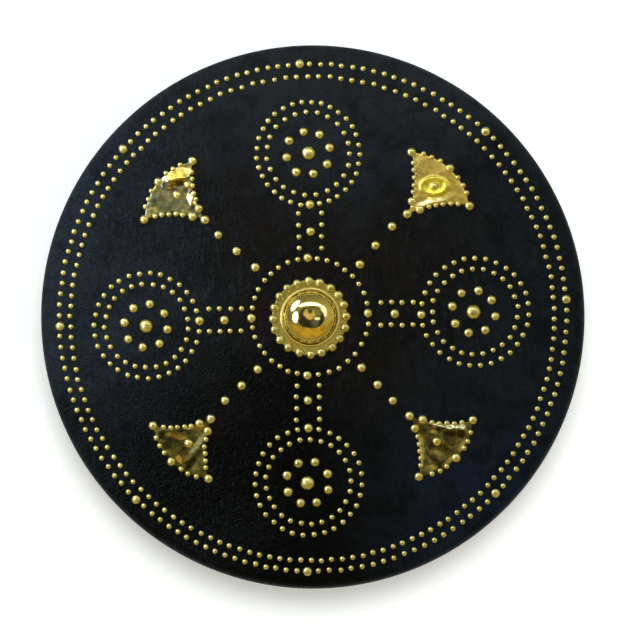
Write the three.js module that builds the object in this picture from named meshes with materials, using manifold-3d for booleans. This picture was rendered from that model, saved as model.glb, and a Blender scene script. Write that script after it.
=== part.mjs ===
// Round wooden shield, faced in black leather and set with brass: domed nails in rings, rows and four
// roundels, a hollow domed boss in the middle and four nailed sheet plates, with two straps on the back.
// Millimetres. +Z points out of the front, +Y to the top of the shield. It lies on its back, so both
// straps rest on z = 0. Angles are in degrees, anticlockwise from +X as seen from the front.
import * as THREE from "three";
import { mergeGeometries, mergeVertices } from "three/addons/utils/BufferGeometryUtils.js";
import Module from "manifold-3d";

const wasm = await Module();
wasm.setup();

// Disc
const SHIELD_RADIUS = 254;
const BOARD_THICKNESS = 13;
const LEATHER_THICKNESS = 2.2;
const FRONT_EDGE_RADIUS = 8;
const BACK_EDGE_RADIUS = 4;
const TURN_UNDER = 24;
const STRAP_STANDOFF = 50;
const DISC_SEGMENTS = 44;

const BOARD_BACK = STRAP_STANDOFF;
const BOARD_FRONT = BOARD_BACK + BOARD_THICKNESS;
const LEATHER_FRONT = BOARD_FRONT + LEATHER_THICKNESS;

// Domed nail heads
const STUDS = {
  small: { radius: 3.1, height: 2.2, sides: 3 },
  medium: { radius: 4.35, height: 3.3, sides: 5 },
  large: { radius: 6.6, height: 4.8, sides: 8 },
};
const SHOULDER_RADIUS = 0.84;
const SHOULDER_HEIGHT = 0.55;
const HEAD_SINK = 0.5;
const HEAD_LIFT_ON_SHEET = 0.3;
const HAND_ERROR = 0.5;

// Rings of nails: each start angle opens a stretch of evenly spaced nails, which its count numbers.
// The nail at a start angle is a marker of its own size.
const OUTER_RING = {
  centre: [0.1, -0.4],
  radius: 236.7,
  starts: [4, 47.2, 93.1, 138.4, 181.9, 225.8, 268.8, 316],
  counts: [18, 19, 19, 18, 18, 18, 19, 20],
  marker: "medium",
};
const SECOND_RING = {
  centre: [-0.5, -1.4],
  radius: 226,
  starts: [0, 59.4, 122.8, 182, 242.6, 301.8],
  counts: [24, 24, 24, 24, 24, 24],
  marker: "small",
};
const CENTRE_RING = {
  centre: [-2.4, 0.3],
  radius: 54.6,
  starts: [4, 93, 181, 267],
  counts: [9, 9, 9, 9],
  marker: "medium",
};

// Roundels: an outer ring with one medium marker, an inner ring, and in the middle, which is a little
// off the rings' centre, a large nail with eight medium nails round it
const ROUNDELS = [
  {
    name: "top",
    centre: [-4.2, 152.6],
    outer: { radius: 48.1, start: 272, count: 33 },
    inner: { radius: 38.8, start: 15, count: 23 },
    middle: [-4.4, 153.3],
    eightStart: 13,
  },
  {
    name: "right",
    centre: [151.5, 4.9],
    outer: { radius: 50.2, start: 183, count: 31 },
    inner: { radius: 40, start: 7, count: 25 },
    middle: [150, 4.9],
    eightStart: 32,
  },
  {
    name: "left",
    centre: [-155.2, -8.2],
    outer: { radius: 49.1, start: 5, count: 31 },
    inner: { radius: 39.1, start: 9.5, count: 25 },
    middle: [-155.6, -8.2],
    eightStart: 36,
  },
  {
    name: "bottom",
    centre: [-4.1, -153.8],
    outer: { radius: 49.9, start: 90, count: 31 },
    inner: { radius: 39.7, start: 1, count: 25 },
    middle: [-4.8, -154.7],
    eightStart: 25,
  },
];
const EIGHT = 8;
const EIGHT_RADIUS = 20.5;

// Arms of the cross: two rows of small nails, with a medium nail between them
const ARM_HALF_WIDTH = 10.6;
const ARM_NAILS = 4;
const ARMS = [
  { angle: 90, aside: 2.6, first: 64.2, pitch: 10.9, middle: 79.5 },
  { angle: 0, aside: 3.1, first: 63.4, pitch: 10, middle: 76.2 },
  { angle: 180, aside: 2.6, first: 66.8, pitch: 10, middle: 83 },
  { angle: 270, aside: -4.4, first: 64.1, pitch: 10.6, middle: 78.1 },
];

// Corners: three medium nails on a diagonal, then a plate
const DIAGONAL_NAILS = 3;
const CORNERS = [
  { name: "upper_left", angle: 139, first: 71.2, pitch: 23.1, plateAngle: 138.6, plateShift: 4 },
  { name: "upper_right", angle: 48.7, first: 66, pitch: 23.1, plateAngle: 47.3, plateShift: 0 },
  { name: "lower_left", angle: 223.7, first: 71.2, pitch: 21.1, plateAngle: 225.6, plateShift: 1 },
  { name: "lower_right", angle: 313.8, first: 65.7, pitch: 21.2, plateAngle: 315.2, plateShift: -1 },
];

// How far each hand-cut plate's corners and middle nail are off the common outline, in the plate's own axes
const SLIPS = {
  upper_left: { apex: [1.5, -1.2], left: [-1.4, -1.4], right: [1, 2.2], middle: [0, -1.9] },
  upper_right: { apex: [0, 0], left: [0, 0], right: [0, 0], middle: [0, 0] },
  lower_left: { apex: [2.9, -1.2], left: [-0.3, -1.1], right: [0.4, 1.3], middle: [-2.1, 0] },
  lower_right: { apex: [0.1, -1.8], left: [-0.6, -0.2], right: [1.1, 0.9], middle: [-1.3, -0.9] },
};

// A plate in its own axes: along it, away from the shield's centre, and across it
const PLATE_THICKNESS = 0.8;
const PLATE_APEX = 130.3;
const PLATE_CORNER = new THREE.Vector2(175.6, 37);
const PLATE_SIDE_DIP = 4.8;
const PLATE_OUTER_BULGE = 13.1;
const PLATE_MIDDLE_NAIL = 166.4;
const PLATE_EDGE_INSET = 0.6;
const PLATE_NECK = 2.4;
const PLATE_SIDE_STEPS = 4;
const PLATE_OUTER_STEPS = 6;
const PAIR_ALONG_SIDE = 12.5;
const SIDE_NAILS = { first: 21.4, pitch: 6.85, count: 5 };
const OUTER_NAILS = { first: 11.6, pitch: 8.1, count: 3 };
const SWELLING = { radius: 11, topRadius: 5.5, height: 1.5, sides: 8 };

// Boss, heights above the leather
const BOSS_CENTRE = [-3, -0.8];
const BOSS_FLANGE_RADIUS = 35;
const BOSS_SHEET = 1.2;
const BOSS_BEAD_RADIUS = 27;
const BOSS_BEAD_HALF_WIDTH = 1.3;
const BOSS_BEAD_HEIGHT = 2.8;
const BOSS_DOME_RADIUS = 25.2;
const BOSS_DOME_HEIGHT = 17;
const BOSS_DOME_STEPS = 5;
const BOSS_HOLLOW_STEPS = 3;
const BOSS_SEGMENTS = 24;
const BOSS_NAILS = { radius: 34.3, start: 1.5, count: 20 };

// Straps on the back: a flat middle, a slope up to the board at each end, and a flat foot
const ARM_STRAP = { x: -95, width: 60, thickness: 4, halfFlat: 45, slope: 26, foot: 34 };
const HAND_STRAP = { x: 128, width: 34, thickness: 5, halfFlat: 32, slope: 22, foot: 30 };
const SLOPE_STEPS = 5;

const LEATHER = new THREE.MeshStandardMaterial({ color: 0x1a1b1d, roughness: 0.6, metalness: 0 });
const BRASS = new THREE.MeshStandardMaterial({ color: 0xd2ad3f, roughness: 0.22, metalness: 1 });
const WOOD = new THREE.MeshStandardMaterial({ color: 0xb88a56, roughness: 0.7, metalness: 0 });
const STRAP_LEATHER = new THREE.MeshStandardMaterial({ color: 0x4b2e1a, roughness: 0.65, metalness: 0 });

const WELD = 1e-4;
const FLATNESS = 0.01;

function onCircle(centre, radius, degrees) {
  const angle = THREE.MathUtils.degToRad(degrees);
  return [centre[0] + radius * Math.cos(angle), centre[1] + radius * Math.sin(angle)];
}

// A repeatable value between -1 and 1 for how far off its mark a nail was driven
function handError(index) {
  const wave = 437.5 * Math.sin(12.9898 * index);
  return 2 * (wave - Math.floor(wave)) - 1;
}

let nailsDriven = 0;

// A nail near [x, y]. Each nail misses its mark a little, never by the same amount.
function nail([x, y], size) {
  nailsDriven += 1;
  const missX = HAND_ERROR * handError(2 * nailsDriven);
  const missY = HAND_ERROR * handError(2 * nailsDriven + 1);
  return { x: x + missX, y: y + missY, size };
}

function ringNails({ centre, radius, starts, counts, marker }) {
  const nails = [];
  starts.forEach((start, stretch) => {
    const next = stretch + 1 < starts.length ? starts[stretch + 1] : starts[0] + 360;
    for (let k = 0; k < counts[stretch]; k += 1) {
      const angle = start + ((next - start) * k) / counts[stretch];
      nails.push(nail(onCircle(centre, radius, angle), k === 0 ? marker : "small"));
    }
  });
  return nails;
}

function evenRing(centre, { radius, start, count }, marker) {
  return ringNails({ centre, radius, starts: [start], counts: [count], marker });
}

function armNails({ angle, aside, first, pitch, middle }) {
  const nails = [];
  const along = onCircle([0, 0], 1, angle);
  const across = onCircle([0, 0], 1, angle + 90);
  const at = (distance, offset) => [
    distance * along[0] + offset * across[0],
    distance * along[1] + offset * across[1],
  ];
  for (const side of [-1, 1]) {
    for (let k = 0; k < ARM_NAILS; k += 1) {
      nails.push(nail(at(first + k * pitch, aside + side * ARM_HALF_WIDTH), "small"));
    }
  }
  nails.push(nail(at(middle, aside), "medium"));
  return nails;
}

function latheUpright(profile, segments) {
  const points = profile.map(([radius, height]) => new THREE.Vector2(radius, height));
  return new THREE.LatheGeometry(points, segments).rotateX(Math.PI / 2);
}

// A domed nail head whose flat base is at z = 0
function headGeometry({ radius, height, sides }) {
  const shoulder = [SHOULDER_RADIUS * radius, SHOULDER_HEIGHT * height];
  return latheUpright([[0, 0], [radius, 0], shoulder, [0, height]], sides);
}

// A nail head cut to a few facets, with its base at a height inside what it is fused to
function facetedHead({ radius, height, sides }, base) {
  const baseRadius = (radius * (height - base)) / height;
  return latheUpright([[0, base], [baseRadius, base], [0, height]], sides);
}

function manifoldOf(geometry) {
  const bare = geometry.index ? geometry.toNonIndexed() : geometry.clone();
  bare.deleteAttribute("normal");
  bare.deleteAttribute("uv");
  const merged = mergeVertices(bare, WELD);
  return new wasm.Manifold(
    new wasm.Mesh({
      numProp: 3,
      vertProperties: merged.attributes.position.array,
      triVerts: new Uint32Array(merged.index.array),
    }),
  );
}

// A joined solid as a geometry, without the needless vertices that joining leaves on flat faces
function geometryOf(manifold) {
  const mesh = manifold.simplify(FLATNESS).getMesh();
  const geometry = new THREE.BufferGeometry();
  geometry.setAttribute("position", new THREE.BufferAttribute(mesh.vertProperties, mesh.numProp));
  geometry.setIndex(new THREE.BufferAttribute(mesh.triVerts, 1));
  geometry.computeVertexNormals();
  return geometry;
}

// One manifold of nail heads that don't touch each other
function nailCluster(nails, base) {
  const heads = nails.map(({ x, y, size }) => facetedHead(STUDS[size], base).translate(x, y, 0));
  return manifoldOf(mergeGeometries(heads));
}

function named(name, geometry, material) {
  const mesh = new THREE.Mesh(geometry, material);
  mesh.name = name;
  return mesh;
}

// Points of a quarter round about (centre radius, centre height) from one angle to another
function roundedCorner(centreRadius, centreHeight, radius, fromDegrees, toDegrees, steps) {
  const points = [];
  for (let k = 0; k <= steps; k += 1) {
    const angle = fromDegrees + ((toDegrees - fromDegrees) * k) / steps;
    points.push(onCircle([centreRadius, centreHeight], radius, angle));
  }
  return points;
}

// The disc's edge from the back to the front, at a depth below the leather's surface
function discEdge(depth, backSteps, frontSteps) {
  const front = FRONT_EDGE_RADIUS - depth;
  const back = BACK_EDGE_RADIUS - depth;
  const frontCentre = LEATHER_FRONT - FRONT_EDGE_RADIUS;
  const backCentre = BOARD_BACK - LEATHER_THICKNESS + BACK_EDGE_RADIUS;
  return [
    ...roundedCorner(SHIELD_RADIUS - BACK_EDGE_RADIUS, backCentre, back, -90, 0, backSteps),
    ...roundedCorner(SHIELD_RADIUS - FRONT_EDGE_RADIUS, frontCentre, front, 0, 90, frontSteps),
  ];
}

function boardEdge() {
  return discEdge(LEATHER_THICKNESS, 1, 1);
}

function board() {
  const profile = [[0, BOARD_BACK], ...boardEdge(), [0, BOARD_FRONT]];
  return named("wooden_board", latheUpright(profile, DISC_SEGMENTS), WOOD);
}

function leatherFace(nails) {
  const lipRadius = SHIELD_RADIUS - TURN_UNDER;
  const profile = [
    [0, BOARD_FRONT],
    ...boardEdge().reverse(),
    [lipRadius, BOARD_BACK],
    [lipRadius, BOARD_BACK - LEATHER_THICKNESS],
    ...discEdge(0, 2, 3),
    [0, LEATHER_FRONT],
  ];
  const skin = manifoldOf(latheUpright(profile, DISC_SEGMENTS));
  const heads = nailCluster(nails, -HEAD_SINK).translate([0, 0, LEATHER_FRONT]);
  return named("leather_face", geometryOf(skin.add(heads)), LEATHER);
}

// The dome's section from its rim to its crown
function domeSection(radius, foot, crown, steps) {
  const points = [];
  for (let k = 0; k < steps; k += 1) {
    const angle = (Math.PI / 2) * (k / steps);
    points.push([radius * Math.cos(angle), foot + (crown - foot) * Math.sin(angle)]);
  }
  points.push([0, crown]);
  return points;
}

function boss() {
  const hollowRadius = BOSS_DOME_RADIUS - BOSS_SHEET;
  const hollow = domeSection(hollowRadius, 0, BOSS_DOME_HEIGHT - BOSS_SHEET, BOSS_HOLLOW_STEPS);
  const profile = [
    ...hollow.reverse(),
    [BOSS_FLANGE_RADIUS, 0],
    [BOSS_FLANGE_RADIUS, BOSS_SHEET],
    [BOSS_BEAD_RADIUS + BOSS_BEAD_HALF_WIDTH, BOSS_SHEET],
    [BOSS_BEAD_RADIUS, BOSS_BEAD_HEIGHT],
    ...domeSection(BOSS_DOME_RADIUS, BOSS_SHEET, BOSS_DOME_HEIGHT, BOSS_DOME_STEPS),
  ];
  const shell = manifoldOf(latheUpright(profile, BOSS_SEGMENTS));
  const nails = evenRing([0, 0], BOSS_NAILS, "medium").map((head) => ({ ...head, size: "medium" }));
  const mesh = named("boss", geometryOf(shell.add(nailCluster(nails, HEAD_LIFT_ON_SHEET))), BRASS);
  mesh.position.set(BOSS_CENTRE[0], BOSS_CENTRE[1], LEATHER_FRONT);
  return mesh;
}

// The circular arc from a to b that bulges to the left of the way there by the given height
function arcBetween(a, b, bulge) {
  const chord = b.clone().sub(a);
  const half = chord.length() / 2;
  const radius = (half * half + bulge * bulge) / (2 * Math.abs(bulge));
  const halfAngle = Math.asin(half / radius);
  const left = new THREE.Vector2(-chord.y, chord.x).normalize().multiplyScalar(Math.sign(bulge));
  const centre = a.clone().add(b).multiplyScalar(0.5).addScaledVector(left, Math.abs(bulge) - radius);
  const along = chord.clone().normalize();
  return {
    length: 2 * radius * halfAngle,
    at(distance) {
      const angle = distance / radius - halfAngle;
      return centre
        .clone()
        .addScaledVector(along, radius * Math.sin(angle))
        .addScaledVector(left, radius * Math.cos(angle));
    },
  };
}

const CORNER_LEFT = PLATE_CORNER;
const CORNER_RIGHT = new THREE.Vector2(PLATE_CORNER.x, -PLATE_CORNER.y);
const APEX = new THREE.Vector2(PLATE_APEX, 0);
const LEFT_SIDE = arcBetween(APEX, CORNER_LEFT, -PLATE_SIDE_DIP);
const RIGHT_SIDE = arcBetween(APEX, CORNER_RIGHT, PLATE_SIDE_DIP);
const OUTER_SIDE = arcBetween(CORNER_RIGHT, CORNER_LEFT, -PLATE_OUTER_BULGE);

// Moves a point of the common outline by its share of the slips of the plate's three corners
function slipped(point, { apex, left, right }) {
  const outward = (point.x - APEX.x) / (CORNER_LEFT.x - APEX.x);
  const sideways = point.y / CORNER_LEFT.y;
  return point
    .clone()
    .addScaledVector(new THREE.Vector2(...apex), 1 - outward)
    .addScaledVector(new THREE.Vector2(...left), (outward + sideways) / 2)
    .addScaledVector(new THREE.Vector2(...right), (outward - sideways) / 2);
}

function middleSpot(slips) {
  return slipped(new THREE.Vector2(PLATE_MIDDLE_NAIL, 0), slips).add(new THREE.Vector2(...slips.middle));
}

// The sheet's outline runs just inside the nails' centres, with a blunt neck at its apex
function plateOutline(slips) {
  const points = [];
  const start = PLATE_NECK;
  for (let k = 0; k <= PLATE_SIDE_STEPS; k += 1) {
    const distance = start + ((RIGHT_SIDE.length - start) * k) / PLATE_SIDE_STEPS;
    const point = RIGHT_SIDE.at(distance);
    points.push(new THREE.Vector2(point.x + PLATE_EDGE_INSET, Math.min(point.y, -PLATE_EDGE_INSET)));
  }
  for (let k = 1; k < PLATE_OUTER_STEPS; k += 1) {
    const point = OUTER_SIDE.at((OUTER_SIDE.length * k) / PLATE_OUTER_STEPS);
    points.push(new THREE.Vector2(point.x - PLATE_EDGE_INSET, point.y));
  }
  const mirrored = points.slice(0, PLATE_SIDE_STEPS + 1).map(({ x, y }) => new THREE.Vector2(x, -y));
  return new THREE.Shape([...points, ...mirrored.reverse()].map((point) => slipped(point, slips)));
}

function plateNails(slips) {
  const onOutline = (point, size) => nail(slipped(point, slips).toArray(), size);
  const middle = OUTER_SIDE.length / 2;
  const nails = [
    onOutline(APEX, "medium"),
    nail(middleSpot(slips).toArray(), "medium"),
    onOutline(OUTER_SIDE.at(middle), "medium"),
  ];
  for (const side of [LEFT_SIDE, RIGHT_SIDE]) {
    nails.push(onOutline(side.at(PAIR_ALONG_SIDE), "medium"));
    nails.push(onOutline(side.at(side.length), "medium"));
    for (let k = 0; k < SIDE_NAILS.count; k += 1) {
      nails.push(onOutline(side.at(SIDE_NAILS.first + k * SIDE_NAILS.pitch), "small"));
    }
  }
  for (const way of [-1, 1]) {
    for (let k = 0; k < OUTER_NAILS.count; k += 1) {
      const distance = middle + way * (OUTER_NAILS.first + k * OUTER_NAILS.pitch);
      nails.push(onOutline(OUTER_SIDE.at(distance), "small"));
    }
  }
  return nails;
}

function plate({ name, plateAngle, plateShift }) {
  const slips = SLIPS[name];
  const outline = plateOutline(slips);
  const sheet = new THREE.ExtrudeGeometry(outline, { depth: PLATE_THICKNESS, bevelEnabled: false });
  const swelling = latheUpright(
    [
      [0, 0],
      [SWELLING.radius, 0],
      [SWELLING.topRadius, PLATE_THICKNESS + SWELLING.height],
      [0, PLATE_THICKNESS + SWELLING.height],
    ],
    SWELLING.sides,
  ).translate(middleSpot(slips).x, middleSpot(slips).y, 0);
  const nails = nailCluster(plateNails(slips), HEAD_LIFT_ON_SHEET);
  const body = manifoldOf(sheet).add(manifoldOf(swelling)).add(nails);
  const mesh = named("plate_" + name, geometryOf(body.translate([plateShift, 0, 0])), BRASS);
  mesh.rotation.z = THREE.MathUtils.degToRad(plateAngle);
  mesh.position.z = LEATHER_FRONT;
  return mesh;
}

function looseStud(name, { x, y, size }) {
  const mesh = named(name, headGeometry(STUDS[size]), BRASS);
  mesh.position.set(x, y, LEATHER_FRONT);
  return mesh;
}

// How high a strap's middle line stands at a distance from its centre, in a smooth S from floor to board
function strapHeight({ thickness, halfFlat, slope }, distance) {
  const share = THREE.MathUtils.smoothstep(Math.abs(distance), halfFlat, halfFlat + slope);
  return thickness / 2 + (BOARD_BACK - thickness) * share;
}

function strap(name, sizes) {
  const { x, width, thickness, halfFlat, slope, foot } = sizes;
  const stations = [-(halfFlat + slope + foot)];
  for (let k = 0; k <= SLOPE_STEPS; k += 1) {
    stations.push(-(halfFlat + slope) + (slope * k) / SLOPE_STEPS);
  }
  const mirrored = stations.map((station) => -station).reverse();
  const line = [...stations, ...mirrored].map(
    (station) => new THREE.Vector2(station, strapHeight(sizes, station)),
  );
  const offset = (side) =>
    line.map((point, k) => {
      const before = line[Math.max(k - 1, 0)];
      const after = line[Math.min(k + 1, line.length - 1)];
      const incoming = point.clone().sub(before).normalize();
      const outgoing = after.clone().sub(point).normalize();
      const along = incoming.add(outgoing).normalize();
      const stretch = k === 0 || k === line.length - 1 ? 1 : 1 / along.dot(outgoing);
      const reach = (side * thickness * stretch) / 2;
      return new THREE.Vector2(point.x - along.y * reach, point.y + along.x * reach);
    });
  const outline = new THREE.Shape([...offset(-1), ...offset(1).reverse()]);
  const geometry = new THREE.ExtrudeGeometry(outline, { depth: width, bevelEnabled: false });
  const acrossToY = new THREE.Matrix4().makeBasis(
    new THREE.Vector3(0, 1, 0),
    new THREE.Vector3(0, 0, 1),
    new THREE.Vector3(1, 0, 0),
  );
  const mesh = named(name, geometry.applyMatrix4(acrossToY), STRAP_LEATHER);
  mesh.position.x = x - width / 2;
  return mesh;
}

const shield = new THREE.Group();
const fusedNails = [...ringNails(OUTER_RING), ...ringNails(SECOND_RING), ...ringNails(CENTRE_RING)];
for (const roundel of ROUNDELS) {
  fusedNails.push(...evenRing(roundel.centre, roundel.outer, "medium"));
  fusedNails.push(...evenRing(roundel.centre, roundel.inner, "small"));
  for (let k = 0; k < EIGHT; k += 1) {
    const spot = onCircle(roundel.middle, EIGHT_RADIUS, roundel.eightStart + (360 * k) / EIGHT);
    shield.add(looseStud(`stud_roundel_${roundel.name}_${k + 1}`, nail(spot, "medium")));
  }
  shield.add(looseStud("stud_large_" + roundel.name, nail(roundel.middle, "large")));
}
for (const arm of ARMS) {
  fusedNails.push(...armNails(arm));
}
for (const corner of CORNERS) {
  for (let k = 0; k < DIAGONAL_NAILS; k += 1) {
    const spot = onCircle([0, 0], corner.first + k * corner.pitch, corner.angle);
    shield.add(looseStud(`stud_diagonal_${corner.name}_${k + 1}`, nail(spot, "medium")));
  }
  shield.add(plate(corner));
}
shield.add(boss());
shield.add(leatherFace(fusedNails));
shield.add(board());
shield.add(strap("arm_strap", ARM_STRAP));
shield.add(strap("hand_strap", HAND_STRAP));

export default shield;
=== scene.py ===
import itertools
import math
import random

import bmesh
import bpy
import numpy as np
from mathutils import Euler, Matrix, Vector, kdtree, noise
from mathutils.geometry import delaunay_2d_cdt


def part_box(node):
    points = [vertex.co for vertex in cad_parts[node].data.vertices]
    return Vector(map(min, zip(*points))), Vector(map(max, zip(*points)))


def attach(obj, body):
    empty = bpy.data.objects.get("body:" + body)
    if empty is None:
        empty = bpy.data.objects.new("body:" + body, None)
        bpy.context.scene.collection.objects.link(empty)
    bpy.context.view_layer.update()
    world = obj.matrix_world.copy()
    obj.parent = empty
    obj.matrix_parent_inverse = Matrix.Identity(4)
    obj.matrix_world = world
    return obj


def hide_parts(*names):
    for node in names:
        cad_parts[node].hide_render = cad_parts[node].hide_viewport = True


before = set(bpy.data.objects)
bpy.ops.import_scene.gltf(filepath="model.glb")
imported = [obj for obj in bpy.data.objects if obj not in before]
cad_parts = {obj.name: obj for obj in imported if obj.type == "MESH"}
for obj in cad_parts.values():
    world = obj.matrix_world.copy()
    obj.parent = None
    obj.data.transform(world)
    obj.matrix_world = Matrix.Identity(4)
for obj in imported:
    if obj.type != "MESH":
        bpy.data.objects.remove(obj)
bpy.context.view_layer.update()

# The shield lies on its back, +Z out of its front and +Y to its top. Lengths are in millimetres, as in the
# solids, and turn into metres when a mesh is made. Angles are in degrees, anticlockwise from +X.
MM = 0.001
BOARD_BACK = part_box("wooden_board")[0].z / MM
BOARD_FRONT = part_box("wooden_board")[1].z / MM
LEATHER_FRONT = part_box("stud_large_top")[0].z / MM
LEATHER_THICKNESS = LEATHER_FRONT - BOARD_FRONT
SHIELD_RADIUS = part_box("leather_face")[1].x / MM
FRONT_EDGE_RADIUS = 8
BACK_EDGE_RADIUS = 4
TURN_UNDER = 24
LIP_BOTTOM = BOARD_BACK - LEATHER_THICKNESS

# Domed nail heads: radius, height
HEADS = {"small": (2.7, 2.2), "medium": (4.35, 3.3), "large": (6.6, 4.8)}
HAND_ERROR = 0.5

# Rings of nails, as in the solids
OUTER_RING = {
    "centre": (0.1, -0.4),
    "radius": 236.7,
    "starts": (4, 47.2, 93.1, 138.4, 181.9, 225.8, 268.8, 316),
    "counts": (18, 19, 19, 18, 18, 18, 19, 20),
    "marker": "medium",
}
SECOND_RING = {
    "centre": (-0.5, -1.4),
    "radius": 226,
    "starts": (0, 59.4, 122.8, 182, 242.6, 301.8),
    "counts": (24, 24, 24, 24, 24, 24),
    "marker": "small",
}
CENTRE_RING = {
    "centre": (-2.4, 0.3),
    "radius": 54.6,
    "starts": (4, 93, 181, 267),
    "counts": (9, 9, 9, 9),
    "marker": "medium",
}
ROUNDELS = (
    {"name": "top", "centre": (-4.2, 152.6), "outer": (48.1, 272, 33), "inner": (38.8, 15, 23),
     "middle": (-4.4, 153.3), "eight_start": 13},
    {"name": "right", "centre": (151.5, 4.9), "outer": (50.2, 183, 31), "inner": (40, 7, 25),
     "middle": (150, 4.9), "eight_start": 32},
    {"name": "left", "centre": (-155.2, -8.2), "outer": (49.1, 5, 31), "inner": (39.1, 9.5, 25),
     "middle": (-155.6, -8.2), "eight_start": 36},
    {"name": "bottom", "centre": (-4.1, -153.8), "outer": (49.9, 90, 31), "inner": (39.7, 1, 25),
     "middle": (-4.8, -154.7), "eight_start": 25},
)
EIGHT = 8
EIGHT_RADIUS = 20.5
ARM_HALF_WIDTH = 10.6
ARM_NAILS = 4
ARMS = (
    {"angle": 90, "aside": 2.6, "first": 64.2, "pitch": 10.9, "middle": 79.5},
    {"angle": 0, "aside": 3.1, "first": 63.4, "pitch": 10, "middle": 76.2},
    {"angle": 180, "aside": 2.6, "first": 66.8, "pitch": 10, "middle": 83},
    {"angle": 270, "aside": -4.4, "first": 64.1, "pitch": 10.6, "middle": 78.1},
)
DIAGONAL_COUNT = 3
CORNERS = (
    {"name": "upper_left", "angle": 139, "first": 71.2, "pitch": 23.1, "plate_angle": 138.6, "shift": 4},
    {"name": "upper_right", "angle": 48.7, "first": 66, "pitch": 23.1, "plate_angle": 47.3, "shift": 0},
    {"name": "lower_left", "angle": 223.7, "first": 71.2, "pitch": 21.1, "plate_angle": 225.6, "shift": 1},
    {"name": "lower_right", "angle": 313.8, "first": 65.7, "pitch": 21.2, "plate_angle": 315.2, "shift": -1},
)

# How far each hand-cut plate's corners and middle nail are off the common outline, in the plate's own axes
SLIPS = {
    "upper_left": {"apex": (1.5, -1.2), "left": (-1.4, -1.4), "right": (1, 2.2), "middle": (0, -1.9)},
    "upper_right": {"apex": (0, 0), "left": (0, 0), "right": (0, 0), "middle": (0, 0)},
    "lower_left": {"apex": (2.9, -1.2), "left": (-0.3, -1.1), "right": (0.4, 1.3), "middle": (-2.1, 0)},
    "lower_right": {"apex": (0.1, -1.8), "left": (-0.6, -0.2), "right": (1.1, 0.9), "middle": (-1.3, -0.9)},
}

# A plate in its own axes: along it, away from the shield's centre, and across it
PLATE_THICKNESS = 0.8
APEX = (130.3, 0)
CORNER_LEFT = (175.6, 37)
CORNER_RIGHT = (175.6, -37)
PLATE_SIDE_DIP = 4.8
PLATE_OUTER_BULGE = 13.1
PLATE_MIDDLE_NAIL = 166.4
PLATE_EDGE_INSET = 0.6
PLATE_NECK = 2.4
PAIR_ALONG_SIDE = 12.5
SIDE_NAILS = {"first": 21.4, "pitch": 6.85, "count": 5}
OUTER_NAILS = {"first": 11.6, "pitch": 8.1, "count": 3}

# Boss, heights above the leather
BOSS_CENTRE = (-3, -0.8)
BOSS_FLANGE_RADIUS = 35
BOSS_SHEET = 1.2
BOSS_GROOVE_RADIUS = 28.0
BOSS_BEAD_RADIUS = 26.35
BOSS_BEAD_HALF_WIDTH = 1.4
BOSS_BEAD_ROUND = 0.7
BOSS_BEAD_HEIGHT = 2.5
BOSS_DOME_RADIUS = 24.8
BOSS_DOME_HEIGHT = 17
BOSS_DOME_ASIDE = (0.6, 0.2)
DOME_CROWN_AXES = (26, 16.9)
DOME_SHOULDER_RADIUS = 22
DOME_WALL_TOP_RADIUS = 24.3
DOME_WALL_ANGLE = 80
BOSS_NAILS = (34.3, 1.5, 20)

# Straps on the back
ARM_STRAP = {"x": -95, "width": 60, "thickness": 4, "half_flat": 45, "slope": 26, "foot": 34}
HAND_STRAP = {"x": 128, "width": 34, "thickness": 5, "half_flat": 32, "slope": 22, "foot": 30}

# The photograph's view: its middle is a little off the shield's, and it is this wide at the rim
VIEW_CENTRE = (6.7, -2.8)
VIEW_WIDTH = 598.2
VIEW_DISTANCE = 6000
SENSOR = 36


def turned(along, across, degrees):
    """The spot this far along a direction from the centre, and this far to the left of that direction."""
    angle = math.radians(degrees)
    cos, sin = math.cos(angle), math.sin(angle)
    return (along * cos - across * sin, along * sin + across * cos)


def on_circle(centre, radius, degrees):
    x, y = turned(radius, 0, degrees)
    return (centre[0] + x, centre[1] + y)


def smoothstep(value, low, high):
    share = np.clip((value - low) / (high - low), 0.0, 1.0)
    return share * share * (3 - 2 * share)


# Nail layout

def hand_error(index):
    """A repeatable value between -1 and 1 for how far off its mark a nail was driven."""
    wave = 437.5 * math.sin(12.9898 * index)
    return 2 * (wave - math.floor(wave)) - 1


nail_numbers = itertools.count(1)


def nail(spot, size):
    number = next(nail_numbers)
    miss_x = HAND_ERROR * hand_error(2 * number)
    miss_y = HAND_ERROR * hand_error(2 * number + 1)
    return (spot[0] + miss_x, spot[1] + miss_y, size)


def ring_nails(centre, radius, starts, counts, marker, others="small"):
    nails = []
    for start, end, count in zip(starts, (*starts[1:], starts[0] + 360), counts):
        for k in range(count):
            angle = start + (end - start) * k / count
            nails.append(nail(on_circle(centre, radius, angle), others if k else marker))
    return nails


def even_ring(centre, ring, marker, others="small"):
    radius, start, count = ring
    return ring_nails(centre, radius, (start,), (count,), marker, others)


def arm_nails(angle, aside, first, pitch, middle):
    nails = [
        nail(turned(first + k * pitch, aside + side * ARM_HALF_WIDTH, angle), "small")
        for side in (-1, 1)
        for k in range(ARM_NAILS)
    ]
    return [*nails, nail(turned(middle, aside, angle), "medium")]


class Arc:
    """The circular arc from a to b that bulges to the left of the way there by the given height."""

    def __init__(self, a, b, bulge):
        a, b = Vector(a), Vector(b)
        chord = b - a
        half = chord.length / 2
        self.radius = (half * half + bulge * bulge) / (2 * abs(bulge))
        self.half_angle = math.asin(half / self.radius)
        self.left = Vector((-chord.y, chord.x)).normalized() * math.copysign(1, bulge)
        self.centre = (a + b) / 2 + self.left * (abs(bulge) - self.radius)
        self.along = chord.normalized()
        self.length = 2 * self.radius * self.half_angle

    def at(self, distance):
        angle = distance / self.radius - self.half_angle
        return self.centre + self.radius * (math.sin(angle) * self.along + math.cos(angle) * self.left)


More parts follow.
